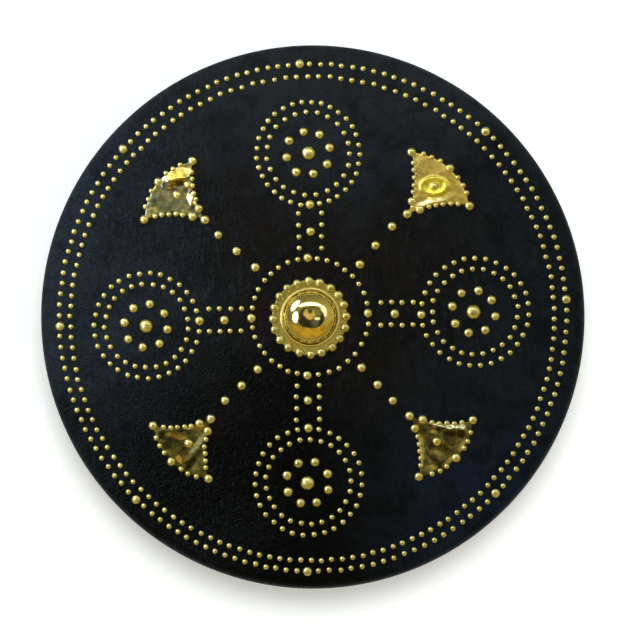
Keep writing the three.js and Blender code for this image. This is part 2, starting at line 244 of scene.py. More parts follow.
LEFT_SIDE = Arc(APEX, CORNER_LEFT, -PLATE_SIDE_DIP)
RIGHT_SIDE = Arc(APEX, CORNER_RIGHT, PLATE_SIDE_DIP)
OUTER_SIDE = Arc(CORNER_RIGHT, CORNER_LEFT, -PLATE_OUTER_BULGE)


def slipped(point, slips):
    """A point of the common outline, moved by its share of the slips of the plate's three corners."""
    outward = (point[0] - APEX[0]) / (CORNER_LEFT[0] - APEX[0])
    sideways = point[1] / CORNER_LEFT[1]
    return (
        Vector(point)
        + Vector(slips["apex"]) * (1 - outward)
        + Vector(slips["left"]) * (outward + sideways) / 2
        + Vector(slips["right"]) * (outward - sideways) / 2
    )


def plate_nails(slips):
    def on_outline(point, size):
        return nail(slipped(point, slips), size)

    middle = OUTER_SIDE.length / 2
    nails = [
        on_outline(APEX, "medium"),
        nail(slipped((PLATE_MIDDLE_NAIL, 0), slips) + Vector(slips["middle"]), "medium"),
        on_outline(OUTER_SIDE.at(middle), "medium"),
    ]
    for side in (LEFT_SIDE, RIGHT_SIDE):
        nails += [on_outline(side.at(distance), "medium") for distance in (PAIR_ALONG_SIDE, side.length)]
        for k in range(SIDE_NAILS["count"]):
            nails.append(on_outline(side.at(SIDE_NAILS["first"] + k * SIDE_NAILS["pitch"]), "small"))
    for way in (-1, 1):
        for k in range(OUTER_NAILS["count"]):
            distance = middle + way * (OUTER_NAILS["first"] + k * OUTER_NAILS["pitch"])
            nails.append(on_outline(OUTER_SIDE.at(distance), "small"))
    return nails


def lay_out_nails():
    """All nails in the solids' order, so that each misses its mark by the same amount as there."""
    rows = ring_nails(**OUTER_RING) + ring_nails(**SECOND_RING) + ring_nails(**CENTRE_RING)
    roundels, diagonals, plates = {}, {}, {}
    for roundel in ROUNDELS:
        rows += even_ring(roundel["centre"], roundel["outer"], "medium")
        rows += even_ring(roundel["centre"], roundel["inner"], "small")
        ring = (EIGHT_RADIUS, roundel["eight_start"], EIGHT)
        eight = even_ring(roundel["middle"], ring, "medium", "medium")
        roundels[roundel["name"]] = eight + [nail(roundel["middle"], "large")]
    for arm in ARMS:
        rows += arm_nails(**arm)
    for corner in CORNERS:
        name = corner["name"]
        distances = [corner["first"] + k * corner["pitch"] for k in range(DIAGONAL_COUNT)]
        diagonals[name] = [nail(turned(distance, 0, corner["angle"]), "medium") for distance in distances]
        plates[name] = plate_nails(SLIPS[name])
    boss = even_ring(BOSS_CENTRE, BOSS_NAILS, "medium", "medium")
    return rows, roundels, diagonals, plates, boss


ROW_NAILS, ROUNDEL_NAILS, DIAGONAL_NAILS, PLATE_NAILS, BOSS_RING = lay_out_nails()
LEATHER_NAILS = [*ROW_NAILS, *itertools.chain(*ROUNDEL_NAILS.values(), *DIAGONAL_NAILS.values())]


def plate_to_shield(corner, u, v):
    return turned(u + corner["shift"], v, corner["plate_angle"])


# Meshes

def add_object(name, data):
    made = bpy.data.objects.new(name, data)
    bpy.context.scene.collection.objects.link(made)
    return made


def new_solid(name, vertices, faces, sharp_from=None):
    """A mesh from points in millimetres, its faces outwards and its edges sharp from the given angle on."""
    mesh = bpy.data.meshes.new(name)
    mesh.from_pydata((np.asarray(vertices, float) * MM).tolist(), [], faces)
    shape = bmesh.new()
    shape.from_mesh(mesh)
    bmesh.ops.recalc_face_normals(shape, faces=shape.faces)
    if sharp_from is not None:
        for edge in shape.edges:
            edge.smooth = edge.calc_face_angle(0) < math.radians(sharp_from)
    shape.to_mesh(mesh)
    shape.free()
    return add_object(name, mesh)


def new_piece(name, vertices, faces, material, slot, replaced, smooth=True, sharp_from=None):
    """A piece that rides on the body in place of CAD nodes."""
    piece = new_solid(name, vertices, faces, sharp_from)
    mesh = piece.data
    mesh.polygons.foreach_set("use_smooth", [smooth] * len(mesh.polygons))
    mesh.materials.append(material)
    mesh.validate()
    mesh.update()
    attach(piece, "root")
    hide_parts(*replaced)
    return piece


def add_attribute(piece, name, values):
    attribute = piece.data.attributes.new(name, "FLOAT", "POINT")
    attribute.data.foreach_set("value", np.asarray(values, np.float32))


def band(first, second):
    """Faces between two closed rings of as many points."""
    return [(first[k - 1], second[k - 1], second[k], first[k]) for k in range(len(first))]


def fan(ring, tip):
    """Faces from a closed ring to one point."""
    return [(ring[k - 1], tip, ring[k]) for k in range(len(ring))]


def grid(cells):
    """Faces between rows of points in a square, and the indices of its boundary in order."""
    side = cells + 1
    last_row = cells * side
    faces = [
        (corner, corner + 1, corner + side + 1, corner + side)
        for row in range(0, last_row, side)
        for corner in range(row, row + cells)
    ]
    right = range(cells, last_row, side)
    top = range(last_row + cells, last_row, -1)
    left = range(last_row, 0, -side)
    return faces, [*range(cells), *right, *top, *left]


def lathe(profile, segments):
    """Points and faces of a turned shape whose profile of (radius, height) starts and ends on the axis."""
    vertices = [(0, 0, profile[0][1]), (0, 0, profile[-1][1])]
    faces, previous = [], None
    for radius, height in profile[1:-1]:
        ring = range(len(vertices), len(vertices) + segments)
        vertices += [(*turned(radius, 0, 360 * k / segments), height) for k in range(segments)]
        faces += band(previous, ring) if previous else fan(ring, 0)
        previous = ring
    return np.array(vertices, float), faces + fan(previous, 1)


def joined(parts):
    """One mesh's points and faces from those of several."""
    vertices, faces, offset = [], [], 0
    for points, part_faces in parts:
        vertices.append(points)
        faces += [tuple(index + offset for index in face) for face in part_faces]
        offset += len(points)
    return np.concatenate(vertices), faces


def rotated(points, euler):
    return points @ np.array(Euler(euler).to_matrix()).T


def arc_points(centre, radius, start, end, steps):
    return [on_circle(centre, radius, start + (end - start) * k / steps) for k in range(steps + 1)]


# Leather surface

BROAD_SWELL = {"height": 0.34, "size": 95}
FINE_SWELL = {"height": 0.09, "size": 28}
DIP_DEPTH = {"small": 0.2, "medium": 0.32, "large": 0.45}
DIP_REACH = 14
DIP_BEYOND_HEAD = 1.4


def smooth_height(x, y):
    """How far the stretched leather stands above or below its mean level."""
    spot = Vector((x, y, 0))
    broad = noise.noise(spot / BROAD_SWELL["size"] + Vector((3.1, 7.7, 0)))
    fine = noise.noise(spot / FINE_SWELL["size"] + Vector((11.3, 2.9, 0)))
    return BROAD_SWELL["height"] * broad + FINE_SWELL["height"] * fine


def nail_tree():
    tree = kdtree.KDTree(len(LEATHER_NAILS))
    for index, (x, y, _) in enumerate(LEATHER_NAILS):
        tree.insert((x, y, 0), index)
    tree.balance()
    return tree


def leather_height(x, y, tree):
    """Height of the leather's surface, pulled down a little round each nail."""
    height = smooth_height(x, y)
    for _, index, distance in tree.find_range((x, y, 0), DIP_REACH):
        size = LEATHER_NAILS[index][2]
        width = HEADS[size][0] + DIP_BEYOND_HEAD
        height -= DIP_DEPTH[size] * math.exp(-((distance / width) ** 2))
    return height


def square_to_disc(a, b):
    """Maps a point of the square from -1 to 1 to the unit disc, ring by ring."""
    if a == 0 and b == 0:
        return (0.0, 0.0)
    if abs(a) > abs(b):
        return turned(a, 0, 45 * b / a)
    return turned(b, 0, 90 - 45 * a / b)


def leather_edge_profile():
    """From the flat front over the edge and the lip, and back inside between leather and board."""
    front_centre = (SHIELD_RADIUS - FRONT_EDGE_RADIUS, LEATHER_FRONT - FRONT_EDGE_RADIUS)
    back_centre = (SHIELD_RADIUS - BACK_EDGE_RADIUS, LIP_BOTTOM + BACK_EDGE_RADIUS)
    lip_inner = SHIELD_RADIUS - TURN_UNDER
    lip = [(radius, LIP_BOTTOM) for radius in np.linspace(back_centre[0] - 2, lip_inner + 1, 8)]
    return (
        arc_points(front_centre, FRONT_EDGE_RADIUS, 90, 0, 8)[1:]
        + arc_points(back_centre, BACK_EDGE_RADIUS, 0, -90, 5)
        + lip
        + [(lip_inner + 0.2, LIP_BOTTOM + 0.3), (lip_inner, LIP_BOTTOM + 1), (lip_inner, BOARD_BACK + 0.1)]
        + [(back_centre[0] - 1, BOARD_BACK + 0.1), (SHIELD_RADIUS - 3.5, BOARD_BACK + 4)]
        + [(SHIELD_RADIUS - 3.5, BOARD_FRONT - 6), (front_centre[0] - 2, BOARD_FRONT)]
    )


LEATHER_CELLS = 200
PLEATS = 74
PLEAT_ASIDE = 0.9
PLEAT_RISE = 0.28


def pleat(degrees):
    """Small puckers where the leather turns under, uneven round the shield."""
    angle = math.radians(degrees)
    wander = 1.6 * noise.noise(Vector((2.2 * math.cos(angle), 2.2 * math.sin(angle), 5)))
    return math.cos(PLEATS * angle + 4 * wander) * (0.6 + 0.4 * math.cos(7 * angle + 1))


def build_leather(material):
    tree = nail_tree()
    faces, boundary = grid(LEATHER_CELLS)
    steps = [2 * k / LEATHER_CELLS - 1 for k in range(LEATHER_CELLS + 1)]
    spots = np.array([square_to_disc(a, b) for b in steps for a in steps])
    spots *= SHIELD_RADIUS - FRONT_EDGE_RADIUS
    vertices = [(x, y, LEATHER_FRONT + leather_height(x, y, tree)) for x, y in spots]
    edge = []
    for x, y, z in (vertices[index] for index in boundary):
        edge.append((math.degrees(math.atan2(y, x)), z - LEATHER_FRONT))
    previous = boundary
    for radius, height in leather_edge_profile():
        ring = range(len(vertices), len(vertices) + len(boundary))
        on_front = smoothstep(height, LEATHER_FRONT - FRONT_EDGE_RADIUS, LEATHER_FRONT)
        on_lip = height < BOARD_BACK and radius < SHIELD_RADIUS - BACK_EDGE_RADIUS + 1
        aside = on_lip * PLEAT_ASIDE * smoothstep(radius, SHIELD_RADIUS - 12, SHIELD_RADIUS - TURN_UNDER)
        for degrees, rise in edge:
            fold = pleat(degrees)
            lift = rise * on_front + on_lip * PLEAT_RISE * fold
            vertices.append((*turned(radius + aside * fold, 0, degrees), height + lift))
        faces += band(previous, ring)
        previous = ring
    vertices.append((0, 0, BOARD_FRONT))
    faces += fan(previous, len(vertices) - 1)
    return new_piece("leather_facing", vertices, faces, material, "black_leather", ["leather_face"])


# Nails

HEAD_SEGMENTS = {"small": 14, "medium": 24, "large": 32}
HEAD_RINGS = {"small": 5, "medium": 8, "large": 10}
SKIRT_DEPTH = 0.7
HEAD_TILT = 0.05
HEAD_SIZES = (0.965, 1.03)
HEAD_HEIGHTS = (0.92, 1.06)
DENT_DEPTH = 0.02
DENT_SIZE = 3
LIFT_ON_LEATHER = -0.12
LIFT_ON_PLATE = 0.5
LIFT_ON_BOSS = 0.75


def head_template(size):
    radius, height = HEADS[size]
    rings = HEAD_RINGS[size]
    profile = [(0, -SKIRT_DEPTH), (0.93 * radius, -SKIRT_DEPTH), (0.985 * radius, 0)]
    for k in range(rings):
        angle = (math.pi / 2) * (k + 0.35) / (rings + 0.35)
        profile.append((radius * math.cos(angle) ** 0.92, height * math.sin(angle)))
    return lathe([*profile, (0, height)], HEAD_SEGMENTS[size])


def set_head(points, spot, luck, downward):
    """A head's points at its spot, a little turned, tilted and sized by hand."""
    turn = luck.uniform(0, 2 * math.pi)
    lean = (luck.gauss(0, HEAD_TILT), luck.gauss(0, HEAD_TILT), 0)
    scale = luck.uniform(*HEAD_SIZES)
    tall = luck.uniform(*HEAD_HEIGHTS)
    dent = Vector((luck.uniform(0, 50), luck.uniform(0, 50), 0))
    moved = rotated(points * (scale, scale, scale * tall), (0, 0, turn))
    for point in moved:
        point += DENT_DEPTH * point * noise.noise(Vector(point) / DENT_SIZE + dent)
    moved = rotated(moved, lean)
    return (moved * (1, -1, -1) if downward else moved) + spot


def build_nails(name, nails, height_at, seed, material, replaced, downward=False):
    """One piece of all the heads, size by size."""
    luck = random.Random(seed)
    heads = []
    for size in HEADS:
        template, faces = head_template(size)
        spots = [(x, y, height_at(x, y)) for x, y, kind in nails if kind == size]
        heads += [(set_head(template, spot, luck, downward), faces) for spot in spots]
    return new_piece(name, *joined(heads), material, "brass", replaced)


def above_leather(lift):
    return lambda x, y: LEATHER_FRONT + smooth_height(x, y) + lift


# Plates

OVAL_POINTS = 16


def oval(centre, half_length, half_width, turn, height):
    """A closed line of points round an ellipse, all at one height."""
    points = []
    for k in range(OVAL_POINTS + 1):
        x, y = on_circle((0, 0), 1, 360 * (k % OVAL_POINTS) / OVAL_POINTS)
        aside_x, aside_y = turned(x * half_length, y * half_width, turn)
        points.append((centre[0] + aside_x, centre[1] + aside_y, height))
    return points


# Where each thin sheet is folded: lines of points (along, across, height above its flat), each line one
# ridge or valley. The sheet runs straight between neighbouring points, down to its edge at the outline.
FOLDS = {
    "upper_left": (
        ((185.5, -1, 1.1), (181, -6.4, 3.0), (176.5, -13, 4.2), (172.5, -17.2, 4.2), (169.5, -22, 2.8)),
        ((177, -3.5, 1.6), (174, -5, 0.9), (173, -9, 0.2), (170, -12, 0.2), (169.3, -15.6, 0.6)),
        ((181, 3, 0.3), (173, -1.5, 0.4), (168.5, -7, 0.3)),
        ((168, -17.5, 1.6), (163.5, -16.5, 1.8), (159.6, -14.6, 1.2)),
        ((165.5, -11.5, 0.5), (161, -11.8, 0.5)),
        ((158.5, -10, 1.3), (152.5, -10.3, 2.3), (151.8, -5.6, 1.2), (157.8, -5.4, 0.2), (158.5, -10, 1.3)),
        ((147.5, -6, 1.2), (144.5, -2, 0.7)), ((149, -1.5, 0.5),),
        ((165, 6, 0.5),), ((172, 14, 0.2),), ((176, 24, 0.5),), ((160, 12, 0.4),), ((183, 14, 0.7),),
    ),
    "upper_right": (
        oval((166.8, -0.4), 15.2, 10.4, -47, 0.4),
        oval((166.2, -0.2), 12.4, 7.6, -45, 1.9),
        oval((168.4, -0.2), 7.4, 4.6, -47, 0.4),
        ((139, 1.2, 0.7), (145, -1.2, 0.5), (151, -4.0, 0.5)),
        ((138.5, -1.8, 1.2), (144.5, -4.9, 2.0), (151, -8.4, 2.4), (157, -13, 1.8), (163, -17.5, 1.0)),
        ((170, 18, 0.6),), ((184, 2, 0.6),), ((184, -9, 0.7),), ((175, 26, 0.6),),
        ((174, -20, 0.8),), ((181, -19, 0.7),),
    ),
    "lower_left": (
        ((173, -27, 1.2), (163, -17.5, 1.5), (154, -9.5, 1.3), (146, -5, 0.8)),
        ((176, -19, 0.3), (168, -11.5, 0.6), (160, -5, 0.4), (150, -1.5, 0.3)),
        ((148, 8, 0.8), (156, 9.4, 1.1), (166, 10.5, 1.2), (175, 11.5, 0.9)),
        ((146, 3, 0.4), (157, 3.8, 0.3), (166, 4.8, 0.3), (174, 6.5, 0.3)),
        ((160, 13, 0.4), (171, 16.5, 0.2), (179, 19, 0.4)),
        ((168, 21, 0.7), (174, 27, 0.6)),
        ((184, -2, 0.7),), ((175, -4, 0.2),), ((183, 8, 0.8),),
    ),
    "lower_right": (
        ((144, 4.2, 0.8), (151, 8.2, 1.1), (156, 11, 1.4), (161, 14.2, 2.4), (165.5, 16.2, 3.0),
         (167.6, 19.8, 1.7), (170, 22.6, 3.1), (174.5, 24.5, 2.6), (176, 27.5, 1.0)),
        ((150, 5, 0.3), (159, 7.4, 0.4), (166.5, 11.5, 0.2), (173, 14.5, 0.2), (180, 20, 0.3)),
        ((158, 2, 0.5), (162, 5.5, 0.9), (166, 7, 0.3)),
        ((150, -4.5, 0.5), (160, -12, 0.6), (169, -20.5, 0.6)),
        ((154, -2.5, 0.4), (163, -9, 0.2), (171, -15.5, 0.3)),
        ((172, -13, 0.2),), ((174, 0, 0.4),), ((182, 8, 0.7),), ((181, -10, 0.5),),
    ),
}
# Marks on the sheets: centre, half length, half width, turn in degrees and strength. The first table's marks
# are stains and painted shade, the second's painted golden reflections, the third's painted highlights.
STAIN_AND_SHADE_MARKS = {
    "upper_left": (
        ((173, -10.8), 8.0, 4.0, 41, 1.0), ((177.5, 18.8), 5, 4, 0, 0.35), ((167, 14), 8, 5, 60, 0.3),
        ((153, 1.5), 5, 4, 0, 0.25), ((168, -1), 7, 6, 0, 0.2),
    ),
    "upper_right": (
        ((173, 16), 11, 5, 20, 0.3), ((183, -5.5), 4, 3.6, 0, 0.4), ((147, 2.6), 5, 3, -10, 0.8),
        ((174, 23), 5, 3, 30, 0.3), ((169, -0.4), 6.0, 4.4, -47, 0.5), ((163, 20), 5, 3, 40, 0.4),
    ),
    "lower_left": (
        ((178, -14), 7, 4.5, 30, 0.9), ((176, 14.5), 9, 4, 10, 0.9), ((173, -4), 9, 6, 0, 0.5),
        ((160, -14.2), 12, 2.4, -36, 0.9), ((173, -26), 6, 4, -30, 0.7), ((161, 0), 7, 3, 10, 0.6),
        ((168, 15.5), 5, 2, 25, 0.3), ((177.5, 14.5), 5, 3, 25, 0.5),
    ),
    "lower_right": (
        ((168.4, 13.4), 8, 3.4, 38, 1.0), ((176, 20.5), 5, 4.5, 40, 1.0), ((156.5, 7.4), 6, 1.8, 28, 0.8),
        ((148, -3.5), 6, 4.5, 0, 0.8), ((174, -14), 5, 4, 0, 0.8), ((166, -3), 6, 3, 60, 0.4),
        ((178, 10), 6, 4, 60, 0.3),
    ),
}
GOLD_REFLECTION_MARKS = {
    "upper_left": (
        ((178.6, -17.5), 15, 6.4, 62, 1.0), ((176.4, -4.6), 5.4, 3.0, 60, 1.0),
        ((165, -15), 7, 2.6, -12, 0.9), ((187, 8), 6, 2.4, 100, 0.8), ((148.5, -7), 6, 3.2, 30, 0.9),
    ),
    "upper_right": (((166.6, -0.3), 15.4, 10.6, -47, 1.0), ((146, 8), 5, 2, 40, 0.5)),
    "lower_left": (
        ((168.5, -17), 8, 3.4, -42, 0.9), ((165.5, -10), 6.5, 2.8, -50, 0.7), ((153, -8.5), 5, 2.2, -38, 0.5),
        ((182, 4), 5, 3.4, 60, 0.9), ((146, -3), 6, 3, -20, 0.5), ((184.5, -7.5), 4, 2.2, 90, 0.3),
    ),
    "lower_right": (
        ((160, -16), 15, 2.6, -41, 1.0), ((185, 13), 8, 2.6, 110, 0.8), ((179, -23), 7, 3.6, 60, 0.7),
        ((186.5, -6), 9, 2.6, 90, 0.6), ((156, 3.5), 3.4, 2.2, 40, 0.8), ((153.6, 6.9), 3, 1.6, 30, 0.6),
    ),
}
HIGHLIGHT_MARKS = {
    "upper_left": (
        ((173.4, -27.4), 6.2, 4.2, 60, 1.0), ((155, -8), 5.4, 4.0, 0, 0.9), ((174, 27), 7, 5, 90, 0.9),
        ((148, -6.6), 4.8, 2.8, 20, 0.9), ((152, 3), 6, 5, 0, 0.35),
    ),
    "upper_right": (
        ((148.5, -5.2), 8.5, 3.2, -30, 1.0), ((161, -14), 6, 3.6, -40, 0.4),
    ),
    "lower_left": (((157, 5.8), 12, 3.4, 8, 1.0), ((165, 20.5), 9, 3, 30, 0.35), ((178, 22), 6, 4, 40, 0.25)),
    "lower_right": (
        ((154, 10.9), 9, 1.5, 33, 1.0), ((163.6, 17.8), 4.8, 2.8, 35, 1.0), ((171, 24.8), 5.2, 2.8, 40, 1.0),
        ((173, -8), 4, 2.2, 20, 0.22),
    ),
}
MARKS = {"stain_and_shade": STAIN_AND_SHADE_MARKS, "gold_reflection": GOLD_REFLECTION_MARKS, "pale": HIGHLIGHT_MARKS}
FOLD_ROUNDING = {"upper_left": 0.55, "upper_right": 0.8, "lower_left": 0.6, "lower_right": 0.5}
PLATE_CELLS = 84
PLATE_CURL = 0.25
CURL_WIDTH = 1.3
PLATE_REACH = 30
PLATE_SHRINK = 1 - PLATE_EDGE_INSET / PLATE_REACH
SIDE_STEPS = 8
OUTER_STEPS = 12

# The plate's edge below its face: how far out each ring stands and how far down it is
PLATE_RIM = ((0.12, 0.25), (0.12, 0.9), (0.0, 1.4))


def folded_sheet(name):
    """Corners, heights and triangles of the folded sheet between its lines of points and its edge."""
    points, edges = [], []
    for line in FOLDS[name]:
        edges += [(k - 1, k) for k in range(len(points) + 1, len(points) + len(line))]
        points += line
    outline = [
        side.at(side.length * k / SIDE_STEPS)
        for side in (LEFT_SIDE, RIGHT_SIDE)
        for k in range(SIDE_STEPS + 1)
    ]
    outline += [OUTER_SIDE.at(OUTER_SIDE.length * k / OUTER_STEPS) for k in range(1, OUTER_STEPS)]
    points += [(*slipped(point, SLIPS[name]), 0.0) for point in outline]
    flat = [Vector(point[:2]) for point in points]
    corners, _, triangles, sources, _, _ = delaunay_2d_cdt(flat, edges, [], 0, 1e-4)
    heights = [points[source[0]][2] if source else 0.0 for source in sources]
    return np.array([tuple(corner) for corner in corners]), np.array(heights), triangles


def sheet_heights(name, spots):
    """Height of the folded sheet at each spot, its creases rounded a little."""
    corners, heights, triangles = folded_sheet(name)
    offsets = [(0, 0)] + [turned(FOLD_ROUNDING[name], 0, turn) for turn in range(0, 360, 60)]
    total = np.zeros(len(spots))
    for offset in offsets:
        x, y = (spots + offset).T
        level = np.zeros(len(spots))
        for triangle in triangles:
            (ax, ay), (bx, by), (cx, cy) = corners[list(triangle)]
            area = (bx - ax) * (cy - ay) - (cx - ax) * (by - ay)
            share_b = ((x - ax) * (cy - ay) - (cx - ax) * (y - ay)) / area
            share_c = ((bx - ax) * (y - ay) - (x - ax) * (by - ay)) / area
            inside = (share_b >= -1e-6) & (share_c >= -1e-6) & (share_b + share_c <= 1 + 1e-6)
            a, b, c = heights[list(triangle)]
            level[inside] = (a + (b - a) * share_b + (c - a) * share_c)[inside]
        total += level
    return total / len(offsets)


def marked(marks, spots):
    """How strongly each spot is marked, between 0 and 1."""
    clear = np.ones(len(spots))
    for centre, half_length, half_width, turn, strength in marks:
        along, across = turned(*(spots - centre).T, -turn)
        distance = np.hypot(along / half_length, across / half_width)
        clear *= 1 - strength * (1 - smoothstep(distance, 0.55, 1.15))
    return 1 - clear


def sheet_unevenness(name, u, v):
    spot = Vector((u, v, 10 * len(name) + ord(name[-1])))
    return 0.22 * noise.noise(spot / 9) + 0.08 * noise.noise(spot / 4)


def plate_spots(slips):
    """Points (u, v) of the sheet, row by row from its apex to its outer side."""
    spots = []
    for row in range(PLATE_CELLS + 1):
        share = row / PLATE_CELLS
        distance = PLATE_NECK + (LEFT_SIDE.length - PLATE_NECK) * share
        left, right = LEFT_SIDE.at(distance), RIGHT_SIDE.at(distance)
        for column in range(PLATE_CELLS + 1):
            across = column / PLATE_CELLS
            chord = Vector(CORNER_RIGHT).lerp(Vector(CORNER_LEFT), across)
            bulge = OUTER_SIDE.at(OUTER_SIDE.length * across) - chord
            spots.append(slipped(right.lerp(left, across) + bulge * share**3, slips))
    return np.array(spots)


def build_plate(corner, material):
    name = corner["name"]
    faces, boundary = grid(PLATE_CELLS)
    # The sheet's columns run from right to left, so without this its faces would point down
    faces = [face[::-1] for face in faces]
    boundary.reverse()
    spots = plate_spots(SLIPS[name])
    middle = np.array(slipped((PLATE_MIDDLE_NAIL - 4, 0), SLIPS[name]))
    to_edge = np.linalg.norm(spots[:, None] - spots[boundary], axis=2).min(axis=1)
    curls = smoothstep(to_edge, 0, CURL_WIDTH)
    vertices = []
    for spot, level, curl in zip(spots, sheet_heights(name, spots), curls):
        relief = level + sheet_unevenness(name, *spot) * curl
        x, y = plate_to_shield(corner, *(middle + (spot - middle) * PLATE_SHRINK))
        rise = PLATE_THICKNESS + PLATE_CURL * curl + max(relief, -PLATE_CURL * curl)
        vertices.append((x, y, LEATHER_FRONT + smooth_height(x, y) + rise))
    previous = boundary
    for outward, drop in PLATE_RIM:
        ring = range(len(vertices), len(vertices) + len(boundary))
        for index in boundary:
            x, y, z = vertices[index]
            away = Vector(spots[index] - middle).normalized() * outward
            aside_x, aside_y = turned(*away, corner["plate_angle"])
            vertices.append((x + aside_x, y + aside_y, z - drop))
        faces += band(previous, ring)
        previous = ring
    vertices.append((*plate_to_shield(corner, *middle), LEATHER_FRONT - 0.8))
    faces += fan(previous, len(vertices) - 1)
    piece = new_piece("plate_sheet_" + name, vertices, faces, material, "brass", ["plate_" + name])
    # Attributes for the stains and painted shade, painted golden reflections and painted highlights on the
    # sheet
    for kind, marks in MARKS.items():
        strengths = marked(marks[name], spots)
        add_attribute(piece, kind, np.pad(strengths, (0, len(vertices) - len(spots))))
    return piece


def build_plate_nails(corner, material, seed):
    name = corner["name"]
    nails = [(*plate_to_shield(corner, u, v), size) for u, v, size in PLATE_NAILS[name]]
    height_at = above_leather(LIFT_ON_PLATE)
    return build_nails("plate_nails_" + name, nails, height_at, seed, material, ["plate_" + name])


# Boss

BOSS_SEGMENTS = 160
FLANGE_LIFT = 0.2
FLANGE_UNEVENNESS = 0.2
SCALLOP_RISE = 0.15
SCALLOP_GROWTH = 0.007
UNEVEN_GROWTH = 0.006


def dome_profile():
    """From the foot up a steep wall, round a shoulder, and over a broad crown shaped like an ellipse."""
    wide, tall = DOME_CROWN_AXES
    crown = [
        (radius, BOSS_DOME_HEIGHT - tall * (1 - math.sqrt(1 - (radius / wide) ** 2)))
        for radius in np.linspace(DOME_SHOULDER_RADIUS, 0, 30)
    ]
    share = DOME_SHOULDER_RADIUS / wide
    steepness = math.atan(tall / wide * share / math.sqrt(1 - share**2))
    spread = math.sin(math.radians(DOME_WALL_ANGLE)) - math.sin(steepness)
    turn = (DOME_WALL_TOP_RADIUS - DOME_SHOULDER_RADIUS) / spread
    centre = (DOME_SHOULDER_RADIUS - turn * math.sin(steepness), crown[0][1] - turn * math.cos(steepness))
    shoulder = arc_points(centre, turn, 90 - DOME_WALL_ANGLE, 90 - math.degrees(steepness), 9)[:-1]
    return [(BOSS_DOME_RADIUS, BOSS_SHEET)] + shoulder + crown


def boss_profile():
    """From the hollow's crown down, out under the flange, and over bead and dome to the outer crown."""
    hollow_radius = BOSS_DOME_RADIUS - BOSS_SHEET
    hollow_height = BOSS_DOME_HEIGHT - BOSS_SHEET
    hollow = [
        (hollow_radius * math.sin(angle), hollow_height * math.cos(angle))
        for angle in np.linspace(0, math.pi / 2, 9)
    ]
    outer = BOSS_FLANGE_RADIUS
    flange = [(outer - 0.3, 0), (outer, 0.3), (outer, BOSS_SHEET - 0.35)]
    flange += [(radius, BOSS_SHEET) for radius in (outer - 0.35, 34, 32.8, 31.5, 30.3, 29.4)]
    groove = [(BOSS_GROOVE_RADIUS + 0.45, BOSS_SHEET - 0.05), (BOSS_GROOVE_RADIUS, BOSS_SHEET - 0.5)]
    turn_aside, turn_height = BOSS_BEAD_HALF_WIDTH - BOSS_BEAD_ROUND, BOSS_BEAD_HEIGHT - BOSS_BEAD_ROUND
    bead = (
        arc_points((BOSS_BEAD_RADIUS + turn_aside, turn_height), BOSS_BEAD_ROUND, -20, 82, 6)
        + [(BOSS_BEAD_RADIUS, BOSS_BEAD_HEIGHT + 0.1)]
        + arc_points((BOSS_BEAD_RADIUS - turn_aside, turn_height), BOSS_BEAD_ROUND, 98, 200, 6)
    )
    foot = [(BOSS_DOME_RADIUS + 0.12, BOSS_SHEET - 0.2)]
    return hollow + flange + groove + bead + foot + dome_profile()


def build_boss(material):
    """The boss, its flange scalloped by the nails that hold it."""
    points, faces = lathe(boss_profile(), BOSS_SEGMENTS)
    _, start, count = BOSS_NAILS
    vertices = []
    for x, y, z in points:
        radius, angle = math.hypot(x, y), math.atan2(y, x)
        on_flange = smoothstep(radius, BOSS_GROOVE_RADIUS, BOSS_FLANGE_RADIUS)
        scallop = -math.cos(count * (angle - math.radians(start)))
        uneven = noise.noise(Vector((x, y, z)) / 9)
        if radius > BOSS_GROOVE_RADIUS and z > 0.2:
            z += on_flange * (FLANGE_LIFT + SCALLOP_RISE * scallop + FLANGE_UNEVENNESS * uneven)
        if z > BOSS_SHEET and radius <= BOSS_DOME_RADIUS:
            z += 0.05 * noise.noise(Vector((x, y, z)) / 8 + Vector((4, 4, 4)))
        grow = 1 + on_flange * (SCALLOP_GROWTH * scallop + UNEVEN_GROWTH * uneven)
        aside = 1 - on_flange
        place_x = BOSS_CENTRE[0] + x * grow + aside * BOSS_DOME_ASIDE[0]
        place_y = BOSS_CENTRE[1] + y * grow + aside * BOSS_DOME_ASIDE[1]
        vertices.append((place_x, place_y, LEATHER_FRONT + z))
    return new_piece("boss_shell", vertices, faces, material, "brass", ["boss"])


# Board and straps on the back

PLANKS = 5
BOARD_SEGMENTS = 256
BOARD_RADIUS = SHIELD_RADIUS - LEATHER_THICKNESS - 2
PLANK_WIDTH = 2 * BOARD_RADIUS / PLANKS
SEAM_WIDTH = 2.2
SEAM_DEPTH = 1.1


